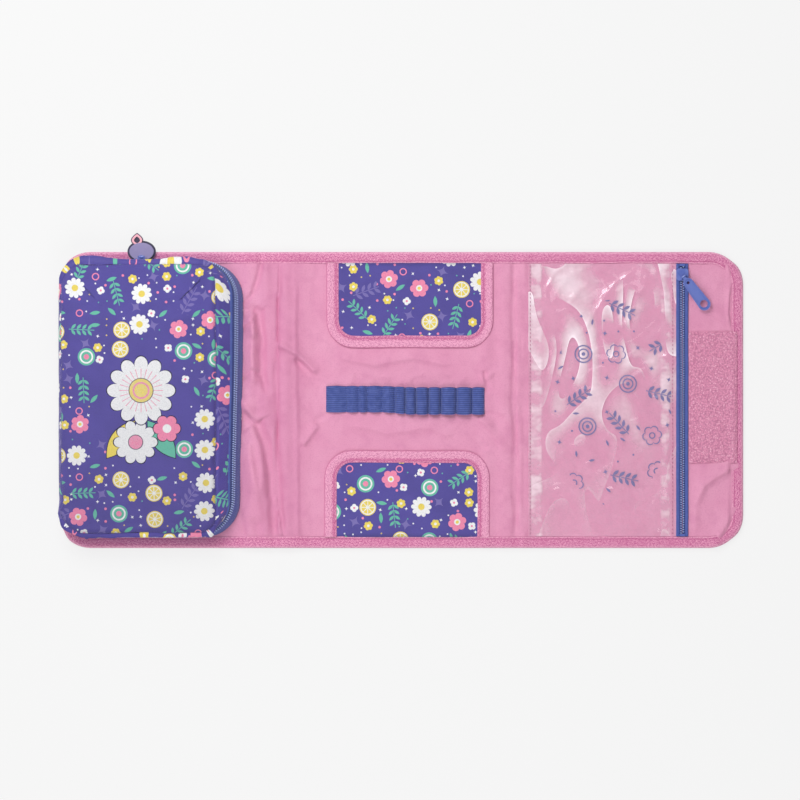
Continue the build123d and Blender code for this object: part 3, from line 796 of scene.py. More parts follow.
class Print:
    """Draws motifs in a graph as masks that are 1 inside a motif and 0 outside."""

    def __init__(self, graph: Graph) -> None:
        """Remember the graph."""
        self.graph = graph

    def cells(self, spot: Socket, pitch: float, spread: float) -> bpy.types.Node:
        """Cut the cloth into cells, one for each motif of a scatter."""
        return self.graph.node("TexVoronoi", {"voronoi_dimensions": "2D"}, Vector=spot, Scale=1 / pitch,
                               Randomness=spread)

    def scatter(self, spot: Socket, pitch: float, spread: float) -> Scatter:
        """Scatter motif places over the cloth.

        Args:
            spot: Place on the cloth in millimetres.
            pitch: Mean distance between motifs in millimetres.
            spread: How far they stray from a square grid, from 0 to 1.

        Returns:
            The scatter, with its place turned at random about each motif.
        """
        graph = self.graph
        cells = self.cells(spot, pitch, spread)
        pick, angle, _ = graph.split(cells.outputs["Color"])
        away = graph.node("VectorMath", {"operation": "SUBTRACT"}, Vector=spot)
        graph.join(away.inputs[1], cells.outputs["Position"])
        turned = graph.node("VectorRotate", {"rotation_type": "Z_AXIS"}, Vector=away.outputs[0],
                            Angle=angle * math.tau)
        x, y, _ = graph.split(turned.outputs[0])
        return Scatter(x, y, cells.outputs["Position"], pick)

    def clear_of(self, spot: Socket, pitch: float, spread: float, gap: float) -> Field:
        """Give 1 where a motif's middle is clear of all motifs of another scatter."""
        return Field(self.graph, self.cells(spot, pitch, spread).outputs["Distance"]) > gap / pitch

    def reach(self, x: Field, y: Field) -> Field:
        """Give the distance from the middle."""
        return (x * x + y * y).do("SQRT")

    def disc(self, x: Field, y: Field, radius: float) -> Field:
        """Draw a round spot."""
        return self.reach(x, y) < radius

    def ring(self, x: Field, y: Field, radius: float, half_width: float) -> Field:
        """Draw a ring."""
        return abs(self.reach(x, y) - radius) < half_width

    def flower(self, x: Field, y: Field, radius: float, petals: int, notch: float) -> Field:
        """Draw a flower with round petals whose notches are as deep as the share told."""
        petal = (y.do("ARCTAN2", x) * petals).do("COSINE")
        return self.reach(x, y) < abs(petal).do("SQRT") * (radius * notch) + radius * (1 - notch)

    def leaf(self, x: Field, y: Field, length: float, width: float) -> Field:
        """Draw a pointed leaf along Y."""
        return abs(x) < (y * y) * (-width / length ** 2) + width

    def sprig(self, x: Field, y: Field, length: float) -> Field:
        """Draw a stem with pairs of leaves along Y."""
        step = 2.9
        lift = y.do("WRAP", step, 0.0) - step * 0.52
        side = abs(x) - 1.55
        across = side * 0.64 - lift * 0.77
        along = side * 0.77 + lift * 0.64
        leaves = self.leaf(across, along, 1.75, 0.72) * (abs(y) < length)
        stem = (abs(x) < 0.2) * (abs(y) < length + 0.8)
        return leaves.do("MAXIMUM", stem)

    def twinkle(self, x: Field, y: Field, radius: float) -> Field:
        """Draw a four-pointed sparkle."""
        return (abs(x).do("SQRT") + abs(y).do("SQRT")) < math.sqrt(radius)

    def within(self, pick: Field, low: float, high: float) -> Field:
        """Give 1 where a random number lies between two limits."""
        return (pick > low) * (pick < high)

    def union(self, *masks: Field) -> Field:
        """Join several masks."""
        joined = masks[0]
        for mask in masks[1:]:
            joined = joined.do("MAXIMUM", mask)
        return joined

    def paint(self, colour: Colour, cell: Scatter, clear: Number, kinds: Sequence[Kind]) -> Socket:
        """Paint each kind of motif where a scatter's random number picks it.

        Args:
            colour: The colour under the motifs.
            cell: The scatter.
            clear: 1 where motifs may be, else 0.
            kinds: For each kind the highest number that picks it, and its masks, each with its tone.

        Returns:
            The colour with the motifs.
        """
        low = 0.0
        for high, layers in kinds:
            shown = self.within(cell.pick, low, high) * clear
            for mask, tone in layers:
                colour = self.graph.blend(colour, tone.value, mask * shown)
            low = high
        return colour


Clearing = Callable[[Socket], Number]


@dataclass(frozen=True)
class PrintedCloth:
    """Violet polyester with a scattered print, whose motifs have a mean distance and a share by which they stray.

    The cover adds one large glittering flower. A dark tone gives the cloth a fine grain and is painted as shade: darker
    towards the cover's lower edge and beside a pocket's seam.
    """

    name: str
    shift: tuple[float, float] = (0.0, 0.0)
    painted_shade_seam_y: float = 0.0
    emblem: bool = False
    emblem_x: float = -190.0
    emblem_y: float = -4.0
    emblem_width: float = 35.0
    emblem_depth: float = 47.0
    large: tuple[float, float] = (24.0, 0.6)
    medium: tuple[float, float] = (12.5, 0.55)
    small: tuple[float, float] = (6.4, 0.62)
    # A dark tone: the cloth's fine grain, and painted shade on the cover's lower part and beside a pocket's seam.
    grain_and_shade_tone: Point = (0.03, 0.02, 0.09)

    def large_motifs(self, draw: Print, spot: Socket, colour: Colour, clear_at: Clearing) -> Socket:
        """Paint daisies, blossoms, sprigs, rings and fruit slices.

        Args:
            draw: Draws in the material.
            spot: Place on the cloth.
            colour: The colour under the motifs.
            clear_at: Gives 1 where a motif's middle is clear of the large flower.

        Returns:
            The colour with the motifs.
        """
        cell = draw.scatter(spot, *self.large)
        x, y = cell.x, cell.y
        spokes = (abs((y.do("ARCTAN2", x) * 4).do("SINE")) * draw.reach(x, y) < 1.1) * (draw.reach(x, y) < 4.6)
        return draw.paint(colour, cell, clear_at(cell.spot), (
            (0.22, [(draw.flower(x, y, 7.6, 5, 0.34), Tone.WHITE), (draw.disc(x, y, 2.4), Tone.YELLOW)]),
            (0.42, [(draw.flower(x, y, 6.8, 3, 0.30), Tone.PINK), (draw.disc(x, y, 2.3), Tone.WHITE),
                    (draw.disc(x, y, 1.2), Tone.YELLOW)]),
            (0.58, [(draw.sprig(x * 0.72, y * 0.72, 6.0), Tone.MINT)]),
            (0.74, [(draw.disc(x, y, 6.4), Tone.MINT), (draw.ring(x, y, 4.4, 0.6), Tone.WHITE),
                    (draw.disc(x, y, 2.0), Tone.PINK)]),
            (0.86, [(draw.disc(x, y, 6.2), Tone.YELLOW), (draw.ring(x, y, 5.1, 0.4), Tone.WHITE),
                    (spokes, Tone.WHITE)]),
            (1.01, [(draw.sprig(x * 0.62, y * 0.62, 6.2), Tone.GHOST)]),
        ))

    def medium_motifs(self, draw: Print, spot: Socket, colour: Colour, clear_at: Clearing) -> Socket:
        """Paint leaves, rings, small flowers and pale twinkles between the large motifs, as large_motifs does."""
        cell = draw.scatter(spot, *self.medium)
        x, y = cell.x, cell.y
        clear = draw.clear_of(cell.spot, *self.large, 9.6) * clear_at(cell.spot)
        return draw.paint(colour, cell, clear, (
            (0.18, [(draw.leaf(x, y, 4.0, 1.4), Tone.MINT)]),
            (0.34, [(draw.ring(x, y, 2.3, 0.42), Tone.PINK)]),
            (0.60, [(draw.flower(x, y, 3.4, 3, 0.3), Tone.YELLOW), (draw.disc(x, y, 1.0), Tone.WHITE)]),
            (0.80, [(draw.flower(x, y, 3.0, 2, 0.36), Tone.WHITE), (draw.disc(x, y, 0.8), Tone.PINK)]),
            (1.01, [(draw.twinkle(x, y, 5.4), Tone.GHOST)]),
        ))

    def small_motifs(self, draw: Print, spot: Socket, colour: Colour, clear_at: Clearing) -> Socket:
        """Paint dots and little twinkles in the gaps, as large_motifs does."""
        cell = draw.scatter(spot, *self.small)
        x, y = cell.x, cell.y
        clear = draw.clear_of(cell.spot, *self.large, 8.2) * draw.clear_of(cell.spot, *self.medium, 4.4)
        return draw.paint(colour, cell, clear * clear_at(cell.spot), (
            (0.22, [(draw.disc(x, y, 0.60), Tone.WHITE)]),
            (0.38, [(draw.disc(x, y, 0.95), Tone.PINK)]),
            (0.54, [(draw.twinkle(x, y, 1.8), Tone.WHITE)]),
            (0.62, [(draw.disc(x, y, 0.55), Tone.YELLOW)]),
            (0.70, [(draw.disc(x, y, 0.5), Tone.MINT)]),
        ))

    def big_flower(self, draw: Print, x: Field, y: Field, colour: Colour) -> tuple[Socket, Field]:
        """Paint the cover's one large flower with two leaves and two small blossoms.

        Args:
            draw: Draws in the material.
            x: Place along the case, from the flower's middle.
            y: Place across the case, from the flower's middle.
            colour: The colour under the flower.

        Returns:
            The colour with the flower, and the mask of its white petals.
        """
        side_x, side_y = x - 19.0, y + 17.0
        low_x, low_y = x + 4.0, y + 27.0
        top = y - 11.0
        petals = draw.flower(x, top, 25.0, 6, 0.30)
        second = draw.flower(low_x, low_y, 16.0, 5, 0.30)
        veins = (abs((top.do("ARCTAN2", x) * 12).do("SINE")) < 0.22) * (draw.reach(x, top) < 16.0)
        layers = []
        for side, tone in ((1, Tone.MINT), (-1, Tone.YELLOW)):
            leaf_x, leaf_y = x * 0.80 + y * (0.60 * side) + 3.0 * side, y * 0.80 - x * (0.60 * side) + 29.0
            layers += [(draw.leaf(leaf_x, leaf_y, 17.8, 7.6), Tone.NIGHT), (draw.leaf(leaf_x, leaf_y, 17.0, 6.9), tone)]
        layers += [
            (draw.flower(low_x, low_y, 16.8, 5, 0.29), Tone.NIGHT), (second, Tone.WHITE),
            (draw.disc(low_x, low_y, 5.6), Tone.NIGHT), (draw.disc(low_x, low_y, 5.0), Tone.PINK),
            (draw.flower(x, top, 25.8, 6, 0.29), Tone.NIGHT), (petals, Tone.WHITE), (veins, Tone.PINK),
            (draw.disc(x, top, 9.2), Tone.NIGHT), (draw.disc(x, top, 8.6), Tone.YELLOW),
            (draw.ring(x, top, 5.6, 0.7), Tone.PINK),
            (draw.flower(side_x, side_y, 10.6, 3, 0.30), Tone.NIGHT),
            (draw.flower(side_x, side_y, 9.9, 3, 0.31), Tone.PINK), (draw.disc(side_x, side_y, 3.2), Tone.WHITE),
        ]
        for mask, tone in layers:
            colour = draw.graph.blend(colour, tone.value, mask)
        return colour, draw.union(petals, second)

    def make(self) -> Finish:
        """Build the material. Its map is the cloth laid flat, in millimetres."""
        graph = Graph(self.name)
        draw = Print(graph)
        plain = graph.place(mapped=True)
        spot = graph.node("Mapping", Vector=plain, Location=(*self.shift, 0)).outputs[0]

        def clear_at(place: Socket) -> Number:
            """Give 1 where a motif's middle is clear of the large flower."""
            if not self.emblem:
                return 1.0
            x, y, _ = graph.split(place)
            away_x = (x - (self.emblem_x + self.shift[0] + 1.0)) * (1 / self.emblem_width)
            away_y = (y - (self.emblem_y + self.shift[1] - 4.0)) * (1 / self.emblem_depth)
            return draw.reach(away_x, away_y) > 1.0

        cloudy = graph.waves(plain, 30.0, 3.0)
        colour = graph.blend(Tone.VIOLET.value, Tone.VIOLET_SHADE.value, graph.range(cloudy, 0.40, 0.75, 0.0, 0.5))
        for motifs in (self.small_motifs, self.medium_motifs, self.large_motifs):
            colour = motifs(draw, spot, colour, clear_at)
        x, y, _ = graph.split(plain)
        weave = graph.stripes(x + y, 0.44) + graph.stripes(x - y, 0.44)
        roughness: Number = 0.46
        if self.emblem:
            colour, petals = self.big_flower(draw, x - self.emblem_x, y - self.emblem_y, colour)
            flakes = graph.node("TexVoronoi", Vector=plain, Scale=1 / 0.5)
            flake, spark, _ = graph.split(flakes.outputs["Color"])
            glitter = graph.range(flake, 0.0, 1.0, 0.0, 0.32) * petals
            colour = graph.blend(colour, (0.55, 0.56, 0.62), glitter)
            roughness = graph.range(spark * petals, 0.2, 1.0, 0.46, 0.22)
            # Painted shade: the cover grows darker towards its lower edge.
            colour = graph.blend(colour, self.grain_and_shade_tone, graph.range(y, 75.0, -100.0, 0.0, 0.26))
        # A fine grain in the dark tone, the cloth's own.
        speckle = graph.waves(plain, 1.0, 2.0)
        colour = graph.blend(colour, self.grain_and_shade_tone, graph.range(speckle, 0.50, 0.80, 0.0, 0.22))
        # Painted shade: the print darkens beside a pocket's seam, where the binding overhangs it.
        if self.painted_shade_seam_y:
            colour = graph.blend(colour, self.grain_and_shade_tone, graph.range(abs(y), self.painted_shade_seam_y - 4.0, self.painted_shade_seam_y, 0.0, 0.6))
        wrinkle = graph.relief(graph.waves(plain, 14.0, 3.0, 0.55), 0.5)
        return graph.finish(colour, roughness, graph.relief(weave, 0.05, wrinkle), Sheen_Weight=0.15,
                            Specular_IOR_Level=0.4)


@dataclass(frozen=True)
class ClearFilm:
    """Clear soft film, glossy and faintly pink, with a slate print of sprigs, rings and twinkles, and painted pale
    reflections in swoops, patches and along its stitched strips.
    """

    name: str = "clear_film"
    large: tuple[float, float] = (31.0, 0.5)
    small: tuple[float, float] = (11.5, 0.55)

    def draw_ink(self, draw: Print, spot: Socket) -> Field:
        """Draw the print as one mask.

        Args:
            draw: Draws in the material.
            spot: Place on the film.

        Returns:
            The mask.
        """
        large, small = draw.scatter(spot, *self.large), draw.scatter(spot, *self.small)
        clear = draw.clear_of(small.spot, *self.large, 11.5)
        x, y = large.x, large.y
        outline = draw.flower(x, y, 7.4, 3, 0.3) - draw.flower(x, y, 6.5, 3, 0.3)
        bloom = draw.union(outline, draw.ring(x, y, 2.0, 0.45)) * draw.within(large.pick, 0.0, 0.38)
        sprig = draw.sprig(x * 0.62, y * 0.62, 5.8) * draw.within(large.pick, 0.38, 0.72)
        rings = draw.union(draw.ring(x, y, 6.2, 0.5), draw.ring(x, y, 3.6, 0.5), draw.disc(x, y, 1.4))
        rings = rings * draw.within(large.pick, 0.72, 1.01)
        dots = draw.disc(small.x, small.y, 0.75) * draw.within(small.pick, 0.0, 0.28)
        sparks = draw.twinkle(small.x, small.y, 2.6) * draw.within(small.pick, 0.28, 0.6)
        leaves = draw.leaf(small.x, small.y, 2.4, 0.8) * draw.within(small.pick, 0.6, 0.78)
        along, across, _ = draw.graph.split(spot)
        inside = draw.reach((along - 157.0) * (1 / 44.0), (across + 2.0) * (1 / 76.0)) < 1.0
        return draw.union(bloom, sprig, rings, draw.union(dots, sparks, leaves) * clear) * inside

    def make(self) -> Finish:
        """Build the material. Its map is the film laid flat, in millimetres."""
        graph = Graph(self.name)
        spot = graph.place(mapped=True)
        x, y, _ = graph.split(spot)
        glaze = graph.waves(spot, 7.0, 3.0, 0.6)
        # Painted reflection: pale swoops with a bright edge and pale patches in the upper film, and pale blocks along
        # both stitched strips, stand in for reflections.
        swoop = (graph.waves(graph.turned(spot, (1.0, 0.50, 1.0), 0.35), 38.0, 0.3, 0.4, 0.5) * 6.0).do("FRACT")
        patches = graph.range(graph.waves(spot, 40.0, 1.0), 0.42, 0.58) * graph.range(y, -50.0, 40.0, 0.15, 1.0)
        painted_reflection = (graph.range(swoop, 0.0, 0.8, 0.66, 0.0) + graph.range(swoop, 0.0, 0.07, 0.28, 0.0)) * patches
        strip = graph.range(abs(x - 101.0), 3.0, 5.2, 1.0, 0.0) + graph.range(abs(x - 196.5), 2.4, 4.4, 0.8, 0.0)
        blocks = graph.waves(graph.turned(spot, (0.45, 0.7, 1.0)), 7.0, 2.0)
        painted_reflection = painted_reflection + strip * graph.range(blocks, 0.44, 0.64, 0.05, 0.34)
        ink = self.draw_ink(Print(graph), spot)
        # The tint pales and the film grows more opaque where the painted reflection is.
        tint = graph.blend((1.0, 0.60, 0.80), (1.0, 0.84, 0.92), graph.range(painted_reflection, 0.0, 0.22))
        cover = (graph.range(glaze, 0.35, 0.75, 0.22, 0.34) + painted_reflection).do("MAXIMUM", ink * 0.86)
        made = graph.finish(graph.blend(tint, Tone.SLATE.value, ink), 0.06, graph.relief(glaze, 0.16), Alpha=cover,
                            IOR=2.4, Specular_IOR_Level=graph.range(cover, 0.15, 0.6, 0.9, 0.15))
        made.surface_render_method = "BLENDED"
        return made


# Studio

@dataclass(frozen=True)
class Studio:
    """A pale floor, soft lamps and a camera straight above the middle of the case."""

    camera_height: float = 4.0
    scene_width: float = 0.592
    sensor: float = 36.0
    floor_size: float = 6.0
    floor_shade: float = 0.918
    floor_drop: float = 0.0004

    def build_floor(self) -> None:
        """Lay the pale floor, which shows its own shade to the camera and in reflections."""
        mesh = bmesh.new()
        bmesh.ops.create_grid(mesh, x_segments=1, y_segments=1, size=self.floor_size / 2)
        for vert in mesh.verts:
            vert.co.z = -self.floor_drop
        floor = new_piece("studio_floor", mesh)
        graph = Graph("floor_paper")
        paper = graph.node("BsdfDiffuse", Color=(0.86, 0.86, 0.86, 1.0))
        glow = graph.node("Emission", Color=(self.floor_shade, self.floor_shade, self.floor_shade, 1.0), Strength=1.0)
        path = graph.node("LightPath")
        seen = Print(graph).union(*(Field(graph, path.outputs[f"Is {kind} Ray"])
                                    for kind in ("Camera", "Glossy", "Transmission")))
        mixed = graph.node("MixShader", Fac=seen * 0.84)
        graph.tree.links.new(paper.outputs[0], mixed.inputs[1])
        graph.tree.links.new(glow.outputs[0], mixed.inputs[2])
        graph.join(graph.node("OutputMaterial").inputs["Surface"], mixed.outputs[0])
        floor.data.materials.append(graph.material)

    def build_lamp(self, name: str, place: Point, size: float, power: float) -> None:
        """Hang a square soft lamp that faces the case."""
        data = bpy.data.lights.new(name, "AREA")
        data.shape = "SQUARE"
        data.size = size
        data.energy = power
        lamp = bpy.data.objects.new(name, data)
        lamp.location = place
        lamp.rotation_euler = (-Vector(place)).to_track_quat("-Z", "Y").to_euler()
        bpy.context.scene.collection.objects.link(lamp)

    def build(self) -> None:
        """Set up the whole studio."""
        scene = bpy.context.scene
        scene.view_settings.view_transform = "Standard"
        world = bpy.data.worlds.new("studio_air")
        world.use_nodes = True
        world.node_tree.nodes["Background"].inputs["Color"].default_value = (1.0, 1.0, 1.0, 1.0)
        world.node_tree.nodes["Background"].inputs["Strength"].default_value = 0.37
        scene.world = world
        self.build_floor()
        self.build_lamp("key_lamp", (-0.45, 0.72, 1.05), 0.80, 12.0)
        self.build_lamp("top_lamp", (-0.25, 0.75, 1.90), 0.90, 3.0)
        self.build_lamp("fill_lamp", (-0.10, -0.95, 1.05), 0.90, 6.9)
        data = bpy.data.cameras.new("camera")
        data.sensor_width = self.sensor
        data.lens = self.sensor * self.camera_height / self.scene_width
        camera = bpy.data.objects.new("camera", data)
        camera.location = (0.0003, 0.0, self.camera_height)
        scene.collection.objects.link(camera)
        scene.camera = camera


# Shapes that several sub-assemblies follow

@dataclass(frozen=True)
class Spot:
    """A point on an outline, its direction outwards, and its distance along the outline."""

    x: float
    y: float
    out_x: float
    out_y: float
    run: float

    def offset(self, gap: float) -> tuple[float, float]:
        """Give the point that lies outwards by the gap."""
        return self.x + self.out_x * gap, self.y + self.out_y * gap


@dataclass(frozen=True)
class Outline:
    """A rectangle whose left and right corners are rounded, in millimetres."""

    left: float
    right: float
    bottom: float
    top: float
    left_radius: float
    right_radius: float

    def between(self, other: "Outline", share: float) -> "Outline":
        """Give the outline that lies between this one and another."""
        names = ("left", "right", "bottom", "top", "left_radius", "right_radius")
        return Outline(*(getattr(self, name) * (1 - share) + getattr(other, name) * share for name in names))

    def inset(self, gap: float) -> "Outline":
        """Give the outline that lies inside this one by the gap."""
        return Outline(self.left + gap, self.right - gap, self.bottom + gap, self.top - gap,
                       max(self.left_radius - gap, 0.02), max(self.right_radius - gap, 0.02))

    def walk(self, long_steps: int, side_steps: int, arc_steps: int, closed: bool = True) -> list[Spot]:
        """Walk anticlockwise from the right end of the top side.

        Args:
            long_steps: Steps along the top and the bottom.
            side_steps: Steps along the left and the right.
            arc_steps: Steps round each corner.
            closed: Go all round and end on the first point. Otherwise stop at the right end of the bottom.

        Returns:
            The points in order.
        """
        corners = (
            (self.left + self.left_radius, self.top - self.left_radius, self.left_radius, 90, long_steps),
            (self.left + self.left_radius, self.bottom + self.left_radius, self.left_radius, 180, side_steps),
            (self.right - self.right_radius, self.bottom + self.right_radius, self.right_radius, 270, long_steps),
            (self.right - self.right_radius, self.top - self.right_radius, self.right_radius, 360, side_steps),
        )
        spots = [Spot(self.right - self.right_radius, self.top, 0.0, 1.0, 0.0)]

        def add(x: float, y: float, degrees: float) -> None:
            """Add a point that faces the given way."""
            last = spots[-1]
            turn = math.radians(degrees)
            run = last.run + math.hypot(x - last.x, y - last.y)
            spots.append(Spot(x, y, math.cos(turn), math.sin(turn), run))

        for number, (middle_x, middle_y, radius, start, steps) in enumerate(corners):
            turn = math.radians(start)
            begin = spots[-1]
            end_x, end_y = middle_x + radius * math.cos(turn), middle_y + radius * math.sin(turn)
            for step in range(1, steps + 1):
                share = step / steps
                add(begin.x * (1 - share) + end_x * share, begin.y * (1 - share) + end_y * share, start)
            if not closed and number == 2:
                break
            for step in range(1, arc_steps + 1):
                degrees = start + 90 * step / arc_steps
                turn = math.radians(degrees)
                add(middle_x + radius * math.cos(turn), middle_y + radius * math.sin(turn), degrees)
        return spots


def lay_tape(spots: list[Spot], section: list[tuple[float, float]], put: Callable[[Spot, float, float], Point],
             into: Mesh | None = None) -> tuple[Mesh, float]:
    """Lay a tape along an outline.

    Args:
        spots: The outline.
        section: The tape's section, as insets and heights.
        put: Gives x, y and z in millimetres for a point of the outline, an inset and a height.
        into: A mesh that the tape is added to.

    Returns:
        The mesh, and the width of the tape laid flat.
    """
    across = measure(section)

    def place(u: float, v: float) -> Point:
        """Place one corner of the tape."""
        return put(pick(spots, u), *pick(section, v))

    def flat(u: float, v: float) -> tuple[float, float]:
        """Give the same corner on the tape laid flat."""
        return pick(spots, u).run, pick(across, v)

    return grid_sheet(len(spots) - 1, len(section) - 1, place, flat, into=into), across[-1]


def edge_reach(x: float, inset: float) -> float:
    """Give the case's half width at an X, inside its rounded corners by an inset."""
    half = (CASE.right - CASE.left) / 2 - inset
    middle = (CASE.right + CASE.left) / 2
    radius = CASE.corner_radius - inset
    beyond = clamp(abs(x - middle) - (half - radius), 0.0, radius)
    return CASE.top - CASE.corner_radius + math.sqrt(radius ** 2 - beyond ** 2)


def lining_height(x: float, y: float) -> float:
    """Give the height of the lining's face: flat on the panels, puffed and creased over the two spines.

    Args:
        x: Place along the case in millimetres.
        y: Place across the case in millimetres.

    Returns:
        The height in millimetres.
    """
    drift = 1.5 * ripple(0.0, y, 46.0, 1) + 0.5 * ripple(0.0, y, 15.0, 2)
    sway = 1.1 * ripple(0.0, y, 60.0, 3)
    strength = 0.75 + 0.45 * ripple(0.0, y, 34.0, 4)
    left = (1.3 * bump_at(x, -98.2 + drift * 0.8, 6.5) + 1.6 * bump_at(x, -84.0 + sway, 8.0)
            + 0.8 * bump_at(x, -109.5 + drift * 0.5, 5.0))
    right = (0.8 * bump_at(x, 64.0 + sway, 8.0) + 1.3 * bump_at(x, 78.0 + sway, 7.5) * strength
             + 1.1 * bump_at(x, 93.5 + 0.6 * drift, 6.0) + 0.6 * bump_at(x, 107.0 + 0.4 * drift, 3.4))
    puckers = 0.0
    for low, high, fade in ((-116.0, -74.0, 12.0), (73.0, 109.0, 4.0)):
        inside = smooth(low - 4, low + 5, x) * (1 - smooth(high - 5, high + fade, x))
        puckers += inside * ((1.9 if x < 0 else 0.3) + 1.1 * ripple(x * 0.9 + y * 0.5, y * 0.35 - x * 0.3, 13.0, 5)
                             + 0.30 * ripple(x, y, 6.0, 6)
                             + 0.9 * bump_at(abs(y), 98.0, 7.0) * ripple(x, 0.0, 3.6, 10))
    panel = 0.55 * ripple(x * 0.8 + y * 0.5, y * 0.9 - x * 0.4, 34.0, 7) + 0.10 * ripple(x, y, 12.0, 15)
    beside_elastic = smooth(-64, -54, x) * (1 - smooth(63, 73, x)) * bump_at(abs(y), 13.5, 5.5)
    panel += 0.55 * beside_elastic * ripple(x, y * 0.4, 5.5, 8)
    edge = (1 - smooth(99.0, 105.0, abs(y))) * (1 - smooth(CASE.right - 11.0, CASE.right - 7.5, abs(x)))
    calm = smooth(1.5, 6.0, abs(x - CASE.middle_seam))
    folds = fold(LINING_CREASES, x, y) * (2.2 - 0.3 * smooth(-76.0, -62.0, x) - 0.6 * smooth(58.0, 72.0, x))
    folds *= 1 - smooth(190.0, 200.0, x) + smooth(213.5, 225.0, x)
    soft = (left + right + puckers + folds) * (0.35 + 0.65 * edge)
    rise = soft + panel * edge * calm
    if 68 < x < 114:
        room = 1.5 + 1.5 * (1 - smooth(68.0, 74.0, x)) + 1.5 * smooth(109.0, 114.0, x)
        rise = room * math.tanh(rise / room) * (1 - 0.85 * smooth(92.0, 96.0, x) * (1 - smooth(108.0, 113.0, x)))
    return CASE.lining_top + max(rise, -0.5)


@dataclass(frozen=True)
class Span:
    """A stretch of the case that bends across one fold, and the CAD sections whose cloth it stands for."""

    name: str
    start: float
    end: float
    bodies: tuple[str, str]
    fold: float
    parts: tuple[str, ...]
    reach: float = 5.0

    def across(self) -> Bend:
        """Give the two bodies and the two places that the stretch bends between."""
        return (*self.bodies, self.fold - self.reach, self.fold + self.reach)


SPANS = (
    Span("pouch_side", CASE.left, CASE.left_seam, ("pouch", "left_spine"), CASE.pouch_fold,
         ("pouch", "left_spine")),
    Span("centre_left", CASE.left_seam, CASE.middle_seam, ("left_spine", "centre"), CASE.left_fold,
         ("centre",)),
    Span("centre_right", CASE.middle_seam, CASE.right_seam, ("centre", "right_spine"), CASE.right_fold,
         ("right_spine",)),
    Span("flap_side", CASE.right_seam, CASE.right, ("right_spine", "flap"), CASE.flap_fold, ("flap",)),
)


# Sub-assemblies

@dataclass
class CaseCloth:
    """The lining and the outer cloth, cut in four stretches that each span one fold, and what lies between them."""

    lining_inset: float = 2.6
    lining_wall: float = 0.35
    cloth_rise: float = 0.16
    cloth_wall: float = 0.34
    row_pitch: float = 1.15
    core_inset: float = 3.0
    core_gap: float = 3.0
    core_pitch: float = 6.0

    def lay(self, span: Span, height: HeightRule, inset: float, pitch: float) -> Mesh:
        """Lay one stretch of cloth inside the case's outline.

        Args:
            span: The stretch.
            height: Gives z for a place x, y.
            inset: How far inside the outline it ends.
            pitch: Size of its squares.

        Returns:
            The mesh.
        """
        start, end = max(span.start, CASE.left + inset), min(span.end, CASE.right - inset)
        columns = max(2, round((end - start) / pitch))
        rows = round(2 * CASE.top / pitch)

        def place(u: float, v: float) -> Point:
            """Place one corner."""
            x = start + (end - start) * u
            if span.start == CASE.left:
                x = start + (end - start) * (1 - math.cos(u * math.pi / 2)) ** 0.8
            if span.end == CASE.right:
                x = end - (end - start) * (1 - math.cos((1 - u) * math.pi / 2)) ** 0.8
            y = (2 * v - 1) * edge_reach(x, inset)
            return x, y, height(x, y)

        return grid_sheet(columns, rows, place)

    def build_cores(self, board: Finish, foam: Finish) -> None:
        """Make the boards of the panels and the foams of the spines, which leave the cloth room to bend at the folds.

        Args:
            board: The boards' finish.
            foam: The foams' finish.
        """
        folds = (CASE.left, CASE.pouch_fold, CASE.left_fold, CASE.right_fold, CASE.flap_fold, CASE.right)
        for body, start, end in zip(("pouch", "left_spine", "centre", "right_spine", "flap"), folds, folds[1:]):
            soft = "spine" in body
            node = f"{body}_foam" if soft else f"{body}_board"
            bottom, top = lay_out(node)[2::3]
            span = Span(node, start if start == CASE.left else start + self.core_gap,
                        end if end == CASE.right else end - self.core_gap, (body, body), 0.0, ())
            core = new_piece(f"core_{body}", self.lay(span, lambda x, y: top, self.core_inset, self.core_pitch))
            thicken(core, top - bottom)
            attach(core, [foam if soft else board], "soft_foam" if soft else "stiff_board", node, body=body)

    def build(self, satin: Finish, cloth: Finish) -> None:
        """Make the lining and the outer cloth.

        Args:
            satin: The lining's finish.
            cloth: The outer cloth's finish.
        """
        for span in SPANS:
            flat = ((span.end - span.start) * MM, 2 * CASE.top * MM)
            lining = new_piece(f"lining_{span.name}", self.lay(span, lining_height, self.lining_inset, self.row_pitch))
            thicken(lining, self.lining_wall)
            attach(lining, [satin], "satin_lining", *(f"{part}_lining" for part in span.parts), across=span.across())

            def under(x: float, y: float) -> float:
                """Give the height of the outer cloth's face, which dips a little where nothing presses on it."""
                return self.cloth_rise + 0.05 * ripple(x, y, 18.0, 9)

            mesh = flip_faces(self.lay(span, under, self.lining_inset, 4.0))
            outer = new_piece(f"outer_cloth_{span.name}", mesh)
            thicken(outer, self.cloth_wall)
            attach(outer, [cloth], "printed_cloth", *(f"{part}_outer_fabric" for part in span.parts),
                   across=span.across())


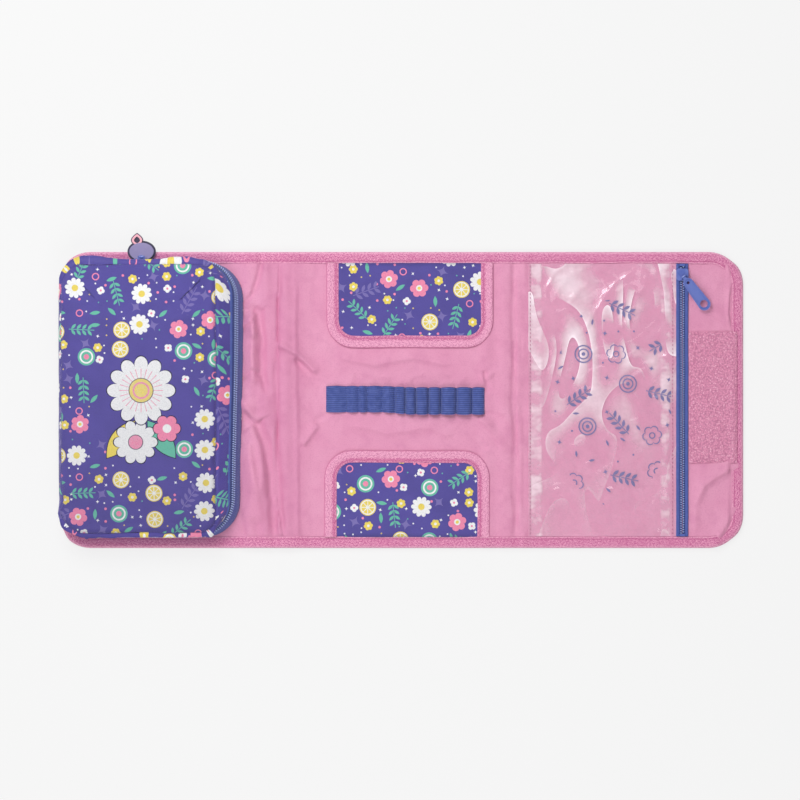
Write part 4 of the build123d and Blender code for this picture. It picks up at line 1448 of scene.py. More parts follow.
@dataclass
class EdgeBinding:
    """Tape folded round the case's edge and sewn down near its inner border."""

    width: float = CASE.binding_width
    step: float = 2.0
    side_steps: int = 80
    arc_steps: int = 14
    stitch_inset: float = 6.9
    stitch_pitch: float = 2.7

    def profile(self) -> list[tuple[float, float]]:
        """Give the tape's section from below to above, as inset and height."""
        top = CASE.binding_top
        return [(self.width - 0.4, 0.02), (self.width * 0.55, 0.0), (1.5, 0.05), (0.5, 0.45), (0.0, 1.1),
                (0.05, 1.9), (0.5, 2.65), (1.3, top - 0.05), (2.4, top + 0.16), (self.width * 0.42, top + 0.20),
                (self.width * 0.62, top + 0.13), (self.width - 1.9, top + 0.0), (self.width - 1.3, top - 0.10),
                (self.width - 0.5, top + 0.04), (self.width - 0.1, top - 0.10), (self.width, top - 0.45)]

    def rise(self, x: float, y: float, height: float) -> float:
        """Lift a point of the tape with the cloth under it, and ruffle it a little."""
        if height < 2.0:
            return height
        bulge = lining_height(x, math.copysign(101.0, y)) - CASE.lining_top if abs(y) > 84 else 0.0
        ruffle = 0.22 * ripple(x, y, 7.0, 11) + 0.14 * ripple(x, y, 3.0, 12)
        calm = smooth(1.0, 5.0, abs(x - CASE.middle_seam))
        return height + 0.8 * max(bulge, -0.3) + ruffle * calm

    def waver(self, spot: Spot, inset: float) -> float:
        """Let the tape's inner border wander."""
        share = smooth(3.0, self.width, inset)
        inset += 1.6 * smooth(-244.0, -251.0, spot.x) - 1.2 * smooth(244.0, 251.0, spot.x)
        calm = smooth(1.0, 6.0, abs(spot.x - CASE.middle_seam))
        return inset + share * calm * (0.55 * ripple(spot.x, spot.y, 26.0, 13) + 0.30 * ripple(spot.x, spot.y, 8.0, 14))

    def strip(self, mesh: Mesh, spots: list[Spot]) -> None:
        """Add one strip of tape and its stitches along a run of outline points.

        Args:
            mesh: The mesh that gets them.
            spots: The outline, anticlockwise.
        """
        def put(spot: Spot, inset: float, height: float) -> Point:
            """Place a corner of the tape."""
            return *spot.offset(-self.waver(spot, inset)), self.rise(spot.x, spot.y, height)

        lay_tape(spots, self.profile(), put, into=mesh)
        line = []
        for spot in spots:
            x, y, height = put(spot, self.stitch_inset, CASE.binding_top)
            line.append(Vector((x, y, height + 0.02)))
        stitch_line(mesh, line, self.stitch_pitch, 1)

    def edges(self, span: Span) -> list[list[Spot]]:
        """Give the runs of outline that a stretch of the case has.

        Args:
            span: The stretch.

        Returns:
            One run round three sides for an end of the case, or two for its long edges.
        """
        left = Outline(CASE.left, CASE.left_seam, -CASE.top, CASE.top, CASE.corner_radius, 0.001)
        if span.start == CASE.left:
            return [left.walk(66, self.side_steps, self.arc_steps, closed=False)]
        if span.end == CASE.right:
            right = Outline(-CASE.right, -CASE.right_seam, -CASE.top, CASE.top, CASE.corner_radius, 0.001)
            spots = right.walk(68, self.side_steps, self.arc_steps, closed=False)
            last = spots[-1].run
            return [[Spot(-spot.x, spot.y, -spot.out_x, spot.out_y, last - spot.run) for spot in reversed(spots)]]
        steps = round((span.end - span.start) / self.step)
        runs = []
        for side in (1.0, -1.0):
            spots = []
            for step in range(steps + 1):
                run = (span.end - span.start) * step / steps
                x = span.end - run if side > 0 else span.start + run
                spots.append(Spot(x, side * CASE.top, 0.0, side, run))
            runs.append(spots)
        return runs

    def build(self, tape: Finish, thread: Finish) -> None:
        """Make the four stretches of binding.

        Args:
            tape: The tape's finish.
            thread: The stitches' finish.
        """
        for span in SPANS:
            mesh = bmesh.new()
            for spots in self.edges(span):
                self.strip(mesh, spots)
            piece = new_piece(f"binding_{span.name}", mesh)
            attach(piece, [tape, thread], "grosgrain_binding", *(f"{part}_binding" for part in span.parts),
                   across=span.across())
            length = sum(spots[-1].run for spots in self.edges(span))
            length * MM


@dataclass
class PrintedPocket:
    """A printed pocket, sewn on along the case's edge and bound round its free sides."""

    name: str
    side: float
    band_width: float = 9.0
    wall: float = 0.5
    corner: float = 20.0
    tuck: float = 1.4
    border_steps: tuple[int, int, int] = (40, 30, 12)
    panel_grid: tuple[int, int] = (64, 36)
    stitch_inset: float = 7.4
    stitch_pitch: float = 2.6

    def __post_init__(self) -> None:
        """Read the pocket's place from its CAD node, as if it lay in the upper half."""
        left, low, _, right, high, _ = lay_out(f"{self.name}_binding")
        free = low if self.side > 0 else -high
        seam = high if self.side > 0 else -low
        self.outline = Outline(left, right, free, seam + self.corner + 0.6, self.corner, self.corner)
        self.seam = seam + 0.6

    def spots(self) -> list[Spot]:
        """Give the pocket's border from its upper left end round to its upper right end."""
        return [spot for spot in self.outline.walk(*self.border_steps) if spot.y <= self.seam + 0.01]

    def waver(self, spot: Spot, inset: float) -> float:
        """Let the border wander a little."""
        wander = 0.32 * ripple(spot.x, spot.y * self.side, 22.0, 21) + 0.12 * ripple(spot.x, spot.y, 7.0, 22)
        return inset + wander * (0.5 + 0.5 * inset / self.band_width)

    def build_band(self, tape: Finish, thread: Finish) -> Piece:
        """Make the tape round the pocket, doubled over its edge.

        Args:
            tape: The tape's finish.
            thread: The stitches' finish.

        Returns:
            The piece.
        """
        spots = self.spots()
        base = CASE.lining_top
        section = [(inset, base + rise) for inset, rise in (
            (0.5, 0.05), (0.0, 0.5), (0.05, 1.0), (0.6, 1.4), (1.8, 1.62), (3.2, 1.60), (4.3, 1.42), (5.0, 1.30),
            (6.3, 1.32), (7.1, 1.24), (7.7, 1.22), (8.5, 1.30), (9.0, 1.05), (9.1, 0.7))]

        def put(spot: Spot, inset: float, height: float) -> Point:
            """Place a corner of the tape."""
            x, y = spot.offset(-self.waver(spot, inset))
            ruffle = 0.16 * ripple(x, y * self.side, 6.0, 23) * smooth(base, base + 1.0, height)
            return x, y * self.side, height + ruffle

        mesh, width = lay_tape(spots, section, put)
        if self.side > 0:
            flip_faces(mesh)
        line = []
        for spot in spots:
            x, y = spot.offset(-self.waver(spot, self.stitch_inset))
            line.append(Vector((x, y * self.side, base + 1.36)))
        stitch_line(mesh, line, self.stitch_pitch, 1)
        band = new_piece(f"{self.name}_band", mesh)
        attach(band, [tape, thread], "grosgrain_binding", f"{self.name}_binding", body="centre")
        length = spots[-1].run - spots[0].run
        width * MM
        length * MM
        return band

    def build(self, cloth: Finish, tape: Finish, thread: Finish) -> None:
        """Make the pocket.

        Args:
            cloth: The printed cloth's finish.
            tape: The tape's finish.
            thread: The stitches' finish.
        """
        band = self.build_band(tape, thread)
        inner = self.outline.inset(self.band_width - self.tuck)
        radius = inner.left_radius

        def place(u: float, v: float) -> Point:
            """Place one corner of the panel."""
            x = inner.left + (inner.right - inner.left) * (1 - math.cos(u * math.pi)) / 2
            beyond = clamp(max(inner.left + radius - x, x - inner.right + radius), 0.0, radius)
            low = inner.bottom + radius - math.sqrt(radius ** 2 - beyond ** 2)
            y = low + (self.seam - low) * v
            side = min(x - inner.left, inner.right - x, y - low)
            puff = 0.75 * smooth(0.0, 26.0, side) + 0.30 * smooth(1.0, 9.0, side) * ripple(x, y * self.side, 19.0, 24)
            dip = 0.35 * bump_at(y, self.seam, 5.0)
            return x, y * self.side, CASE.lining_top + 0.75 + puff - dip + 0.05 * ripple(x, y, 5.0, 25)

        mesh = grid_sheet(*self.panel_grid, place)
        if self.side < 0:
            flip_faces(mesh)
        panel = new_piece(f"{self.name}_cloth", mesh)
        thicken(panel, self.wall)
        attach(panel, [cloth], "printed_cloth", f"{self.name}_panel", body="centre")
        width, depth = inner.right - inner.left, self.seam - inner.bottom
        width * MM
        depth * MM


@dataclass
class PencilElastic:
    """Blue webbing sewn down at intervals, so that it stands up in loops that hold pencils."""

    valleys: tuple[float, ...] = (-39.2, -30.3, -23.7, -12.6, -3.3, 4.1, 11.8, 21.2, 30.3, 41.8, 53.3)
    heights: tuple[float, ...] = (1.8, 2.1, 2.5, 2.3, 2.8, 2.9, 3.6, 4.3, 4.5, 4.6, 4.4, 3.2)
    wall: float = 0.85
    floor: float = 0.6
    loop_steps: int = 14
    rows: int = 30

    def build(self, webbing: Finish, thread: Finish) -> None:
        """Make the row of loops.

        Args:
            webbing: The elastic's finish.
            thread: The stitches' finish.
        """
        left, low, _, right, high, _ = lay_out("pencil_elastic")
        stops = (left, *self.valleys, right)
        line: list[Point] = []
        for loop, (start, end) in enumerate(zip(stops, stops[1:])):
            for step in range(self.loop_steps + (loop == len(self.heights) - 1)):
                share = step / self.loop_steps
                arch = abs(math.sin(math.pi * share)) ** 0.55
                lean = 0.10 * math.sin(math.tau * share) * (1 if loop > 4 else -1.6)
                x = start + (end - start) * (share - lean * 0.5)
                line.append((x, arch, self.floor + self.heights[loop] * arch))
        runs = measure([(x, rise) for x, _, rise in line])

        def place(u: float, v: float) -> Point:
            """Place one corner of the webbing."""
            x, arch, rise = pick(line, u)
            shift = 0.65 - 1.35 * smooth(-14.0, 12.0, x)
            end = abs(2 * v - 1)
            half = (high - low) / 2 - 0.55 + 0.75 * arch * (0.5 + 0.5 * smooth(-10.0, 10.0, x))
            skew = 0.5 * (v - 0.5) * ripple(x, 0.0, 16.0, 31)
            rise += 0.18 * arch * (1 - end ** 4) + 0.12 * ripple(x, v * 20.0, 5.0, 32) * arch
            return x + skew, shift + (2 * v - 1) * half, CASE.lining_top + rise

        def flat(u: float, v: float) -> tuple[float, float]:
            """Give the same corner on the webbing laid flat."""
            return pick(runs, u), (v - 0.5) * (high - low)

        piece = new_piece("pencil_loops", grid_sheet(len(line) - 1, self.rows, place, flat))
        thicken(piece, self.wall)
        attach(piece, [webbing], "blue_elastic", "pencil_elastic", body="centre")
        seams = []
        for valley in (left + 1.1, *self.valleys, right - 1.1):
            shift = 0.65 - 1.35 * smooth(-14.0, 12.0, valley)
            lift = self.floor + (0.75 if valley in (left + 1.1, right - 1.1) else 0.12)
            seams.append([Vector((valley, shift + low + 0.9 + (high - low - 1.8) * step / 10, CASE.lining_top + lift))
                          for step in range(11)])
        sew("pencil_loop_stitches", seams, 1.9, thread, "blue_elastic", radius=0.2, body="centre")
        (high - low) * MM


FILM_CREASES = (
    Crease(((128, 103), (113.5, 93), (109.2, 79.2), (107.4, 51), (107.4, 15)), 2, 1.6),
    Crease(((134, 48), (137.7, 53.5), (152.2, 76), (160.2, 86.4), (172, 92)), 1.8, 1.3),
    Crease(((176, 102), (183, 92), (182, 84), (176, 75), (182, 62)), 2, 1.4),
    Crease(((112, 70), (124, 90), (142, 99)), 5, 1.2),
    Crease(((124, 68), (134, 82), (141, 86)), 3.6, 1.4),
    Crease(((168, 12), (178, 20), (192, 30)), 4, 1.6),
    Crease(((188, 40), (194, 52), (201, 60)), 3, 1.2),
    Crease(((168, -40), (176, -55), (181, -70), (178, -84)), 1.8, 0.9),
    Crease(((140, -66), (158, -64), (175, -62)), 3.2, 0.9),
    Crease(((112, -64), (124, -62), (138, -64)), 2.6, 0.9),
    Crease(((106, -20), (118, -40), (130, -55)), 3.4, 1),
)


@dataclass
class FilmPocket:
    """The clear pocket over the right spine and the flap: one wrinkled film, sewn down at both sides."""

    inset: float = 1.8
    pitch: float = 1.15
    left_stitch: float = 1.4
    right_stitch: float = 2.6
    stitch_end: int = 100

    def __post_init__(self) -> None:
        """Read the film's place from its CAD nodes."""
        self.left = lay_out("clear_pocket_margin")[0] - self.inset
        _, self.low, _, self.right, self.high, _ = lay_out("clear_pocket_sheet")

    def height(self, x: float, y: float) -> float:
        """Give the height of the film's face, which lies on the lining and stands off it in folds.

        Args:
            x: Place along the case in millimetres.
            y: Place across the case in millimetres.

        Returns:
            The height in millimetres.
        """
        free = smooth(0.5, 9.0, x - self.left) * smooth(0.5, 7.0, self.right - x)
        held = free * (1 - smooth(90.0, 100.5, abs(y)) * 0.55)
        slant = ripple(x * 0.85 + y * 0.45, y * 0.6 - x * 0.4, 27.0, 41)
        crossed = ripple(x * 0.8 - y * 0.5, y * 0.7 + x * 0.3, 15.0, 42)
        folds = 1.3 * (1 - abs(slant) * 2.6) ** 3 if abs(slant) < 0.38 else 0.0
        folds += 0.7 * (1 - abs(crossed) * 3.4) ** 2 if abs(crossed) < 0.29 else 0.0
        folds += 2.2 * (0.5 + ripple(x, y, 36.0, 45)) + fold(FILM_CREASES, x, y)
        pleats = smooth(74.0, 98.0, abs(y)) * 0.8 * ripple(x, y * 0.12, 5.0, 43)
        upright = 0.9 * bump_at(x, 104.5 + 1.2 * ripple(0.0, y, 40.0, 46), 2.4)
        upright += 0.5 * bump_at(x, 197.0 + 1.5 * ripple(0.0, y, 25.0, 47), 3.2)
        rest, own = lining_height(x, y), 0.55 * held * max(folds, 0.0) + free * (0.5 * pleats + upright)
        room = max(CASE.lining_top + 1.5 + 3.4 * smooth(107.0, 113.0, x) - rest, 0.3)
        return rest + 0.42 + (room * math.tanh(own / room) if own > 0 else own)

    def build(self, film: Finish, thread: Finish) -> None:
        """Make the film and its stitches.

        Args:
            film: The film's finish.
            thread: The stitches' finish.
        """
        width, depth = self.right - self.left, self.high - self.low

        def place(u: float, v: float) -> Point:
            """Place one corner of the film."""
            x, y = self.left + width * u, self.low + depth * v
            return x, y, self.height(x, y)

        span = SPANS[3]
        mesh = grid_sheet(round(width / self.pitch), round(depth / self.pitch), place)
        piece = new_piece("clear_film", mesh)
        attach(piece, [film], "clear_film", "clear_pocket_margin", "clear_pocket_sheet", across=span.across())
        width * MM
        depth * MM
        seams = []
        for x in (self.left + self.left_stitch, self.right - self.right_stitch):
            seams.append([Vector((x + 0.25 * ripple(0.0, y, 20.0, 48), y, self.height(x, y) + 0.04))
                          for y in range(-self.stitch_end, self.stitch_end + 1, 2)])
        sew("clear_film_stitches", seams, 2.9, thread, "grosgrain_binding", radius=0.27, across=span.across())


@dataclass
class FlapZip:
    """The flap's straight zip: two tapes and two rows of coil loops."""

    middle: float = 209.0
    tape_wall: float = 0.45
    coil_pitch: float = 1.75
    coil_side: float = 0.85
    tape_gap: float = 0.15
    tape_steps: int = 130
    coil_steps: int = 100

    def build(self, tape: Finish, coil: Finish) -> None:
        """Make both halves.

        Args:
            tape: The tapes' finish.
            coil: The coils' finish.
        """
        for side, name in ((-1.0, "left"), (1.0, "right")):
            box = lay_out(f"flap_zip_tape_{name}")
            outer = box[0] if side < 0 else box[3]
            inner = self.middle + side * self.tape_gap
            section = [(outer, 0.15), (outer - side * 0.1, 0.75), (outer - side * 0.5, 1.0),
                       (outer - side * 1.4, 1.02), (outer - side * 2.2, 0.86), (self.middle + side * 1.75, 0.55),
                       (self.middle + side * 1.2, 0.45), (inner, 0.42)]
            if side > 0:
                section.reverse()

            def place(u: float, v: float) -> Point:
                """Place one corner of the tape."""
                x, rise = pick(section, u)
                y = box[1] + (box[4] - box[1]) * v
                ruffle = 0.10 * ripple(x, y, 8.0, 51) + 0.25 * ripple(0.0, y, 45.0, 52)
                return x + ruffle, y, CASE.lining_top + 0.25 + rise + 0.5 * ruffle

            def flat(u: float, v: float) -> tuple[float, float]:
                """Give the same corner on the tape laid flat."""
                return v * (box[4] - box[1]), pick(section, u)[0]

            piece = new_piece(f"flap_zip_tape_{name}_cloth", grid_sheet(len(section) - 1, self.tape_steps, place, flat))
            thicken(piece, self.tape_wall)
            attach(piece, [tape], "blue_tape", f"flap_zip_tape_{name}", body="flap")
            low, high = lay_out(f"flap_zip_coil_{name}")[1::3]
            points = []
            for step in range(self.coil_steps + 1):
                y = low + (high - low) * step / self.coil_steps + (self.coil_pitch / 4) * side
                wander = 0.25 * ripple(0.0, y, 45.0, 52)
                points.append(Vector((self.middle + side * self.coil_side + wander, y, CASE.lining_top + 1.12)))
            mesh = bmesh.new()
            coil_row(mesh, points, Vector((1, 0, 0)), self.coil_pitch, Vector((0.44, 0.72, 0.60)), 0.22 * side)
            attach(new_piece(f"flap_zip_loops_{name}", mesh), [coil], "blue_coil", f"flap_zip_coil_{name}",
                   body="flap")


@dataclass
class FasteningPatch:
    """A patch of hook or loop tape, sewn round its border."""

    name: str
    node: str
    body: str
    slot: str
    down: bool = False
    pitch: float = 1.3
    wall: float = 0.9
    border: float = 1.6
    seam_steps: int = 30

    def build(self, pile: Finish, thread: Finish) -> None:
        """Make the patch and its stitches.

        Args:
            pile: The patch's finish.
            thread: The stitches' finish.
        """
        left, low, bottom, right, high, _ = lay_out(self.node)
        columns, rows = round((right - left) / self.pitch), round((high - low) / self.pitch)

        def height(x: float, y: float) -> float:
            """Give the height of the pile's face."""
            side = min(x - left, right - x, y - low, high - y)
            if self.down:
                return bottom + 0.06 + 0.05 * ripple(x, y, 2.0, 61) + 0.1 * (1 - smooth(0.0, 1.0, side))
            pile_rise = smooth(-0.3, 1.2, side) * 0.55 - 0.22 * bump_at(side, self.border, 0.9)
            over = smooth(CASE.right - 9.5, CASE.right - 8.0, x) * 0.55
            return (CASE.lining_top + 0.95 + over + pile_rise + 0.14 * ripple(x, y, 1.7, 62)
                    + 0.25 * ripple(x, y, 30.0, 63))

        def place(u: float, v: float) -> Point:
            """Place one corner of the patch."""
            x, y = left + (right - left) * u, low + (high - low) * v
            fray = 0.22 * ripple(x, y, 2.4, 64)
            return x + fray, y + fray, height(x, y)

        mesh = grid_sheet(columns, rows, place)
        if self.down:
            flip_faces(mesh)
        piece = new_piece(self.name, mesh)
        thicken(piece, 0.4 if self.down else self.wall)
        attach(piece, [pile], self.slot, self.node, body=self.body)
        (right - left) * MM
        (high - low) * MM
        gap = self.border
        corners = [(left + gap, low + gap), (right - gap, low + gap), (right - gap, high - gap),
                   (left + gap, high - gap), (left + gap, low + gap)]
        seam = []
        for (a, b), (c, d) in zip(corners, corners[1:]):
            for step in range(self.seam_steps):
                x, y = a + (c - a) * step / self.seam_steps, b + (d - b) * step / self.seam_steps
                seam.append(Vector((x, y, height(x, y) + (-0.05 if self.down else 0.08))))
        sew(f"{self.name}_stitches", [seam], 2.4, thread, self.slot, radius=0.2, body=self.body)


COVER_CREASES = (
    Crease(((-180, 70), (-166, 76), (-152, 82), (-139, 94)), 8, 1),
    Crease(((-166, 56), (-154, 62), (-138, 72)), 7, 0.8),
    Crease(((-152, -66), (-143, -78), (-139, -92)), 6, 0.8),
    Crease(((-248, -60), (-238, -72), (-222, -80)), 7, 0.8),
    Crease(((-247, 88), (-236, 82), (-222, 82)), 6, 0.7),
)


@dataclass
class Pouch:
    """The zipped pouch: a tray sewn on the case, and a puffed lid that swings on their common left edge."""

    base: Outline = Outline(-243.7, -115.6, -100.7, 100.7, 15.0, 26.0)
    belt: Outline = Outline(-250.9, -121.6, -99.2, 101.6, 24.0, 27.0)
    rim: Outline = Outline(-248.9, -135.4, -97.6, 99.8, 17.0, 12.0)
    belt_height: float = 14.0
    rim_height: float = 23.6
    tape_low: float = 3.4
    tape_high: float = 16.9
    zip_end: float = -232.0
    long_steps: int = 62
    side_steps: int = 100
    arc_steps: int = 16
    rings: int = 40
    crown: float = 1.9
    cloth_wall: float = 0.6
    wall_stretch: float = 1.3
    half_gap: float = 0.15
    tape_wall: float = 0.45
    tape_rows: int = 8
    coil_pitch: float = 1.7
    coil_lean: float = 0.15
    satin_inset: float = 1.6

    def level(self, height: float) -> Outline:
        """Give the pouch's outline at a height."""
        if height < self.belt_height:
            low = CASE.lining_top
            return self.base.between(self.belt, (height - low) / (self.belt_height - low))
        return self.belt.between(self.rim, (height - self.belt_height) / (self.rim_height - self.belt_height))

    def walk(self, outline: Outline) -> list[Spot]:
        """Walk round an outline in the pouch's own number of steps."""
        return outline.walk(self.long_steps, self.side_steps, self.arc_steps)

    def middle_gap(self) -> float:
        """Give the distance from the rim to a line just short of the lid's middle."""
        return (self.rim.right - self.rim.left) / 2 - 0.03

    def zip_order(self) -> list[int]:
        """Give the numbers of the points that the zip passes, from its lower left end to its upper left end."""
        spots = self.walk(self.belt)[:-1]
        count = len(spots)
        first = max(number for number, spot in enumerate(spots) if spot.x < self.zip_end) + 1
        last = min(number for number, spot in enumerate(spots) if spot.x < self.zip_end)
        return [number % count for number in range(first, count + last)]

    def waver(self, spot: Spot) -> float:
        """Let the pouch's sides wander in and out."""
        x, y = spot.x, spot.y
        wander = 0.95 * ripple(x, y, 30.0, 71) + 0.45 * ripple(x, y, 9.0, 72)
        if x < -246:
            wander += 1.7 * bump_at(y, -82.5, 7.0) - 1.3 * bump_at(y, -73.5, 5.0)
        return wander

    def lean(self, spot: Spot) -> float:
        """Let the pouch's right side stand further in towards its lower end."""
        return -2.3 * smooth(55.0, -85.0, spot.y) * max(spot.out_x, 0.0)

    def wall_offset(self, spot: Spot, height: float) -> float:
        """Give how far the wall's cloth stands out from the outline.

        Args:
            spot: The point on the outline.
            height: The height in millimetres.

        Returns:
            The distance outwards in millimetres.
        """
        if height >= self.belt_height:
            share = (height - self.belt_height) / (self.rim_height - self.belt_height)
            soft = smooth(0.45, 0.75, share)
            bulge = 1.1 * math.sin(math.pi * clamp(share))
            over = smooth(0.35, 0.85, share) * (1 - smooth(0.88, 1.0, share))
            if spot.y > 60:
                rise = 3.0 + 2.8 * smooth(-204.0, -226.0, spot.x) + 1.6 * bump_at(spot.x, -160.0, 24.0)
                bulge += over * max(spot.out_y, 0.0) * rise
            if spot.y < -60:
                bulge += over * max(-spot.out_y, 0.0) * (2.4 + 1.2 * ripple(spot.x, 0.0, 24.0, 77))
            bulge += 3.6 * over * bump_at(math.hypot(spot.x + 140.0, spot.y + 97.0), 0.0, 5.0)
            bulge += 2.8 * over * bump_at(math.hypot(spot.x + 244.0, spot.y + 90.0), 0.0, 8.0)
            bulge += self.lean(spot) * (1 - share)
            bulge += soft * (0.55 * ripple(spot.run, height * 1.3, 8.0, 73) + 0.25 * ripple(spot.run, height, 3.5, 74))
            return bulge + self.waver(spot) * share
        share = (self.belt_height - height) / (self.belt_height - CASE.lining_top)
        soft = math.sin(math.pi * clamp(share))
        rough = 0.15 if spot.y > 60 else 0.5
        return 0.6 * soft + rough * soft * ripple(spot.run, height * 1.2, 9.0, 75) + self.lean(spot)

    def wall(self, low: float, high: float, rows: int) -> Mesh:
        """Make a stretch of wall, all the way round.

        Args:
            low: Its lower border's height.
            high: Its upper border's height.
            rows: Rows of squares between them.

        Returns:
            The mesh.
        """
        heights = [low + (high - low) * row / rows for row in range(rows + 1)]
        walks = [self.walk(self.level(min(height, self.rim_height))) for height in heights]
        count = len(walks[0]) - 1

        def place(u: float, v: float) -> Point:
            """Place one corner of the wall."""
            row = round(v * rows)
            number = round(u * count) % count
            spot = walks[row][number]
            x, y = spot.offset(self.wall_offset(replace(spot, run=walks[0][number].run), heights[row]))
            return x, y, heights[row] - 1.1 * smooth(self.rim_height - 1.2, self.rim_height, heights[row])

        def flat(u: float, v: float) -> tuple[float, float]:
            """Give the same corner on the wall laid flat."""
            return pick(walks[0], u).run, pick(heights, v) * self.wall_stretch

        return grid_sheet(count, rows, place, flat, weld=0.01)

    def band(self, low: float, high: float, tuck_high: bool) -> Mesh:
        """Make one half of the zip's tape.

        Args:
            low: Its lower border's height.
            high: Its upper border's height.
            tuck_high: The upper border is the one sewn to the wall, else the lower one.

        Returns:
            The mesh.
        """
        order = self.zip_order()
        rows = self.tape_rows
        heights = [low + (high - low) * row / rows for row in range(rows + 1)]
        walks = [self.walk(self.level(height)) for height in heights]
        belt = self.walk(self.belt)
        total = belt[-1].run

        def place(u: float, v: float) -> Point:
            """Place one corner of the tape."""
            row = round(v * rows)
            number = pick(order, u)
            spot = walks[row][number]
            share = v if tuck_high else 1 - v
            proud = 0.62 - 0.75 * smooth(0.86, 1.0, share) + 0.12 * ripple(spot.run, v * 4, 5.0, 76)
            here = replace(spot, run=walks[0][number].run)
            x, y = spot.offset(self.wall_offset(here, heights[row]) + proud)
            return x, y, heights[row]

        def flat(u: float, v: float) -> tuple[float, float]:
            """Give the same corner on the tape laid flat."""
            number = pick(order, u)
            return belt[number].run + (total if number < order[0] else 0.0), pick(heights, v)

        return grid_sheet(len(order) - 1, rows, place, flat)

    def zip_line(self, height: float, out: float) -> list[Vector]:
        """Give points along the zip at a height, that far out from the wall."""
        spots = self.walk(self.level(height))
        line = []
        for number in self.zip_order():
            spot = spots[number]
            x, y = spot.offset(self.wall_offset(spot, height) + out)
            line.append(Vector((x, y, height)))
        return line

    def build_zip(self, half: str, tape: Finish, coil: Finish, thread: Finish) -> None:
        """Make one half of the zip: its tape, its coil and the stitches that hold it.

        Args:
            half: Either lower or upper.
            tape: The tape's finish.
            coil: The coil's finish.
            thread: The stitches' finish.
        """
        upper = half == "upper"
        body = "lid" if upper else "pouch"
        low = self.belt_height + self.half_gap if upper else self.tape_low
        high = self.tape_high if upper else self.belt_height - self.half_gap
        piece = new_piece(f"pouch_{half}_tape", self.band(low, high, upper))
        thicken(piece, self.tape_wall)
        attach(piece, [tape], "blue_tape", f"pouch_{half}_zip_tape", body=body)
        mesh = bmesh.new()
        middle = self.belt_height + (0.80 if upper else -0.80)
        line = self.zip_line(middle, 1.35)
        coil_row(mesh, line, Vector((0, 0, 1)), self.coil_pitch, Vector((0.50, 0.78, 0.76)),
                 self.coil_lean if upper else -self.coil_lean)
        attach(new_piece(f"pouch_{half}_loops", mesh), [coil], "blue_coil", f"pouch_{half}_zip_coil", body=body)
        edge = high - 0.85 if upper else low + 0.85
        sew(f"pouch_{half}_tape_stitches", [self.zip_line(edge, 0.46)], 2.5, thread, "blue_tape", radius=0.18,
            body=body)

    def cover_height(self, x: float, y: float, gap: float, run: float) -> float:
        """Give the height of the lid's cover.

        Args:
            x: Place along the case.
            y: Place across the case.
            gap: Distance in from the seam.
            run: Distance along the seam.

        Returns:
            The height in millimetres.
        """
        roll = 2.3 * (1 - math.exp(-gap / 1.7)) - 0.5 * bump_at(gap, 6.5, 5.0)
        crown = self.crown * (1 - (1 - clamp(gap / 50.0)) ** 2.3)
        pucker = 1.2 * ripple(run, gap * 0.22, 8.5, 81) * math.exp(-gap / 12.0) * smooth(0.0, 3.5, gap)
        pucker += 0.40 * ripple(run, gap * 0.3, 3.2, 82) * math.exp(-gap / 5.0) * smooth(0.0, 2.0, gap)
        waves = ripple(x, y, 46.0, 83) + 0.8 * ripple(x * 0.8 + y * 0.6, y * 0.5, 21.0, 84)
        slack = smooth(4.0, 26.0, gap) * waves
        return self.rim_height - 0.6 + roll + crown + pucker + slack + fold(COVER_CREASES, x, y) * smooth(0.0, 3.0, gap)

    def build_cover(self, cloth: Finish, thread: Finish) -> None:
        """Make the puffed cover in rings from its seam to its middle.

        Args:
            cloth: The cover's finish.
            thread: The seam's finish.
        """
        gaps = [self.middle_gap() * (ring / self.rings) ** 1.6 for ring in range(self.rings + 1)]
        walks = [self.walk(self.rim.inset(gap)) for gap in gaps]
        count = len(walks[0]) - 1

        def place(u: float, v: float) -> Point:
            """Place one corner of the cover."""
            ring = round(v * self.rings)
            number = round(u * count) % count
            spot, edge = walks[ring][number], walks[0][number]
            x, y = spot.offset(self.waver(edge) * math.exp(-gaps[ring] / 9.0))
            return x, y, self.cover_height(x, y, gaps[ring], edge.run)

        piece = new_piece("pouch_cover", grid_sheet(count, self.rings, place, weld=0.08))
        thicken(piece, self.cloth_wall)
        attach(piece, [cloth], "printed_cloth", "pouch_front_cover", body="lid")
        width, depth = self.rim.right - self.rim.left, self.rim.top - self.rim.bottom
        width * MM
        depth * MM
        seam = []
        for spot in walks[0]:
            x, y = spot.offset(self.waver(spot) - 0.35)
            seam.append(Vector((x, y, self.rim_height - 0.2)))
        sew("pouch_cover_seam", [seam], 2.2, thread, "printed_cloth", radius=0.24, body="lid")

    def build_walls(self, cloth: Finish, satin: Finish) -> None:
        """Make the printed side walls and the satin inside of tray and lid.

        Args:
            cloth: The walls' finish.
            satin: The inside's finish.
        """
        length = self.walk(self.belt)[-1].run * MM
        lid = new_piece("pouch_lid_wall", self.wall(self.belt_height + self.half_gap, self.rim_height + 0.3, 14))
        tray = new_piece("pouch_tray_wall", self.wall(CASE.lining_top, self.belt_height - self.half_gap, 10))
        for piece, node, body, height in ((lid, "pouch_upper_wall", "lid", 14.0),
                                          (tray, "pouch_lower_wall", "pouch", 12.5)):
            thicken(piece, self.cloth_wall)
            attach(piece, [cloth], "printed_cloth", node, body=body)

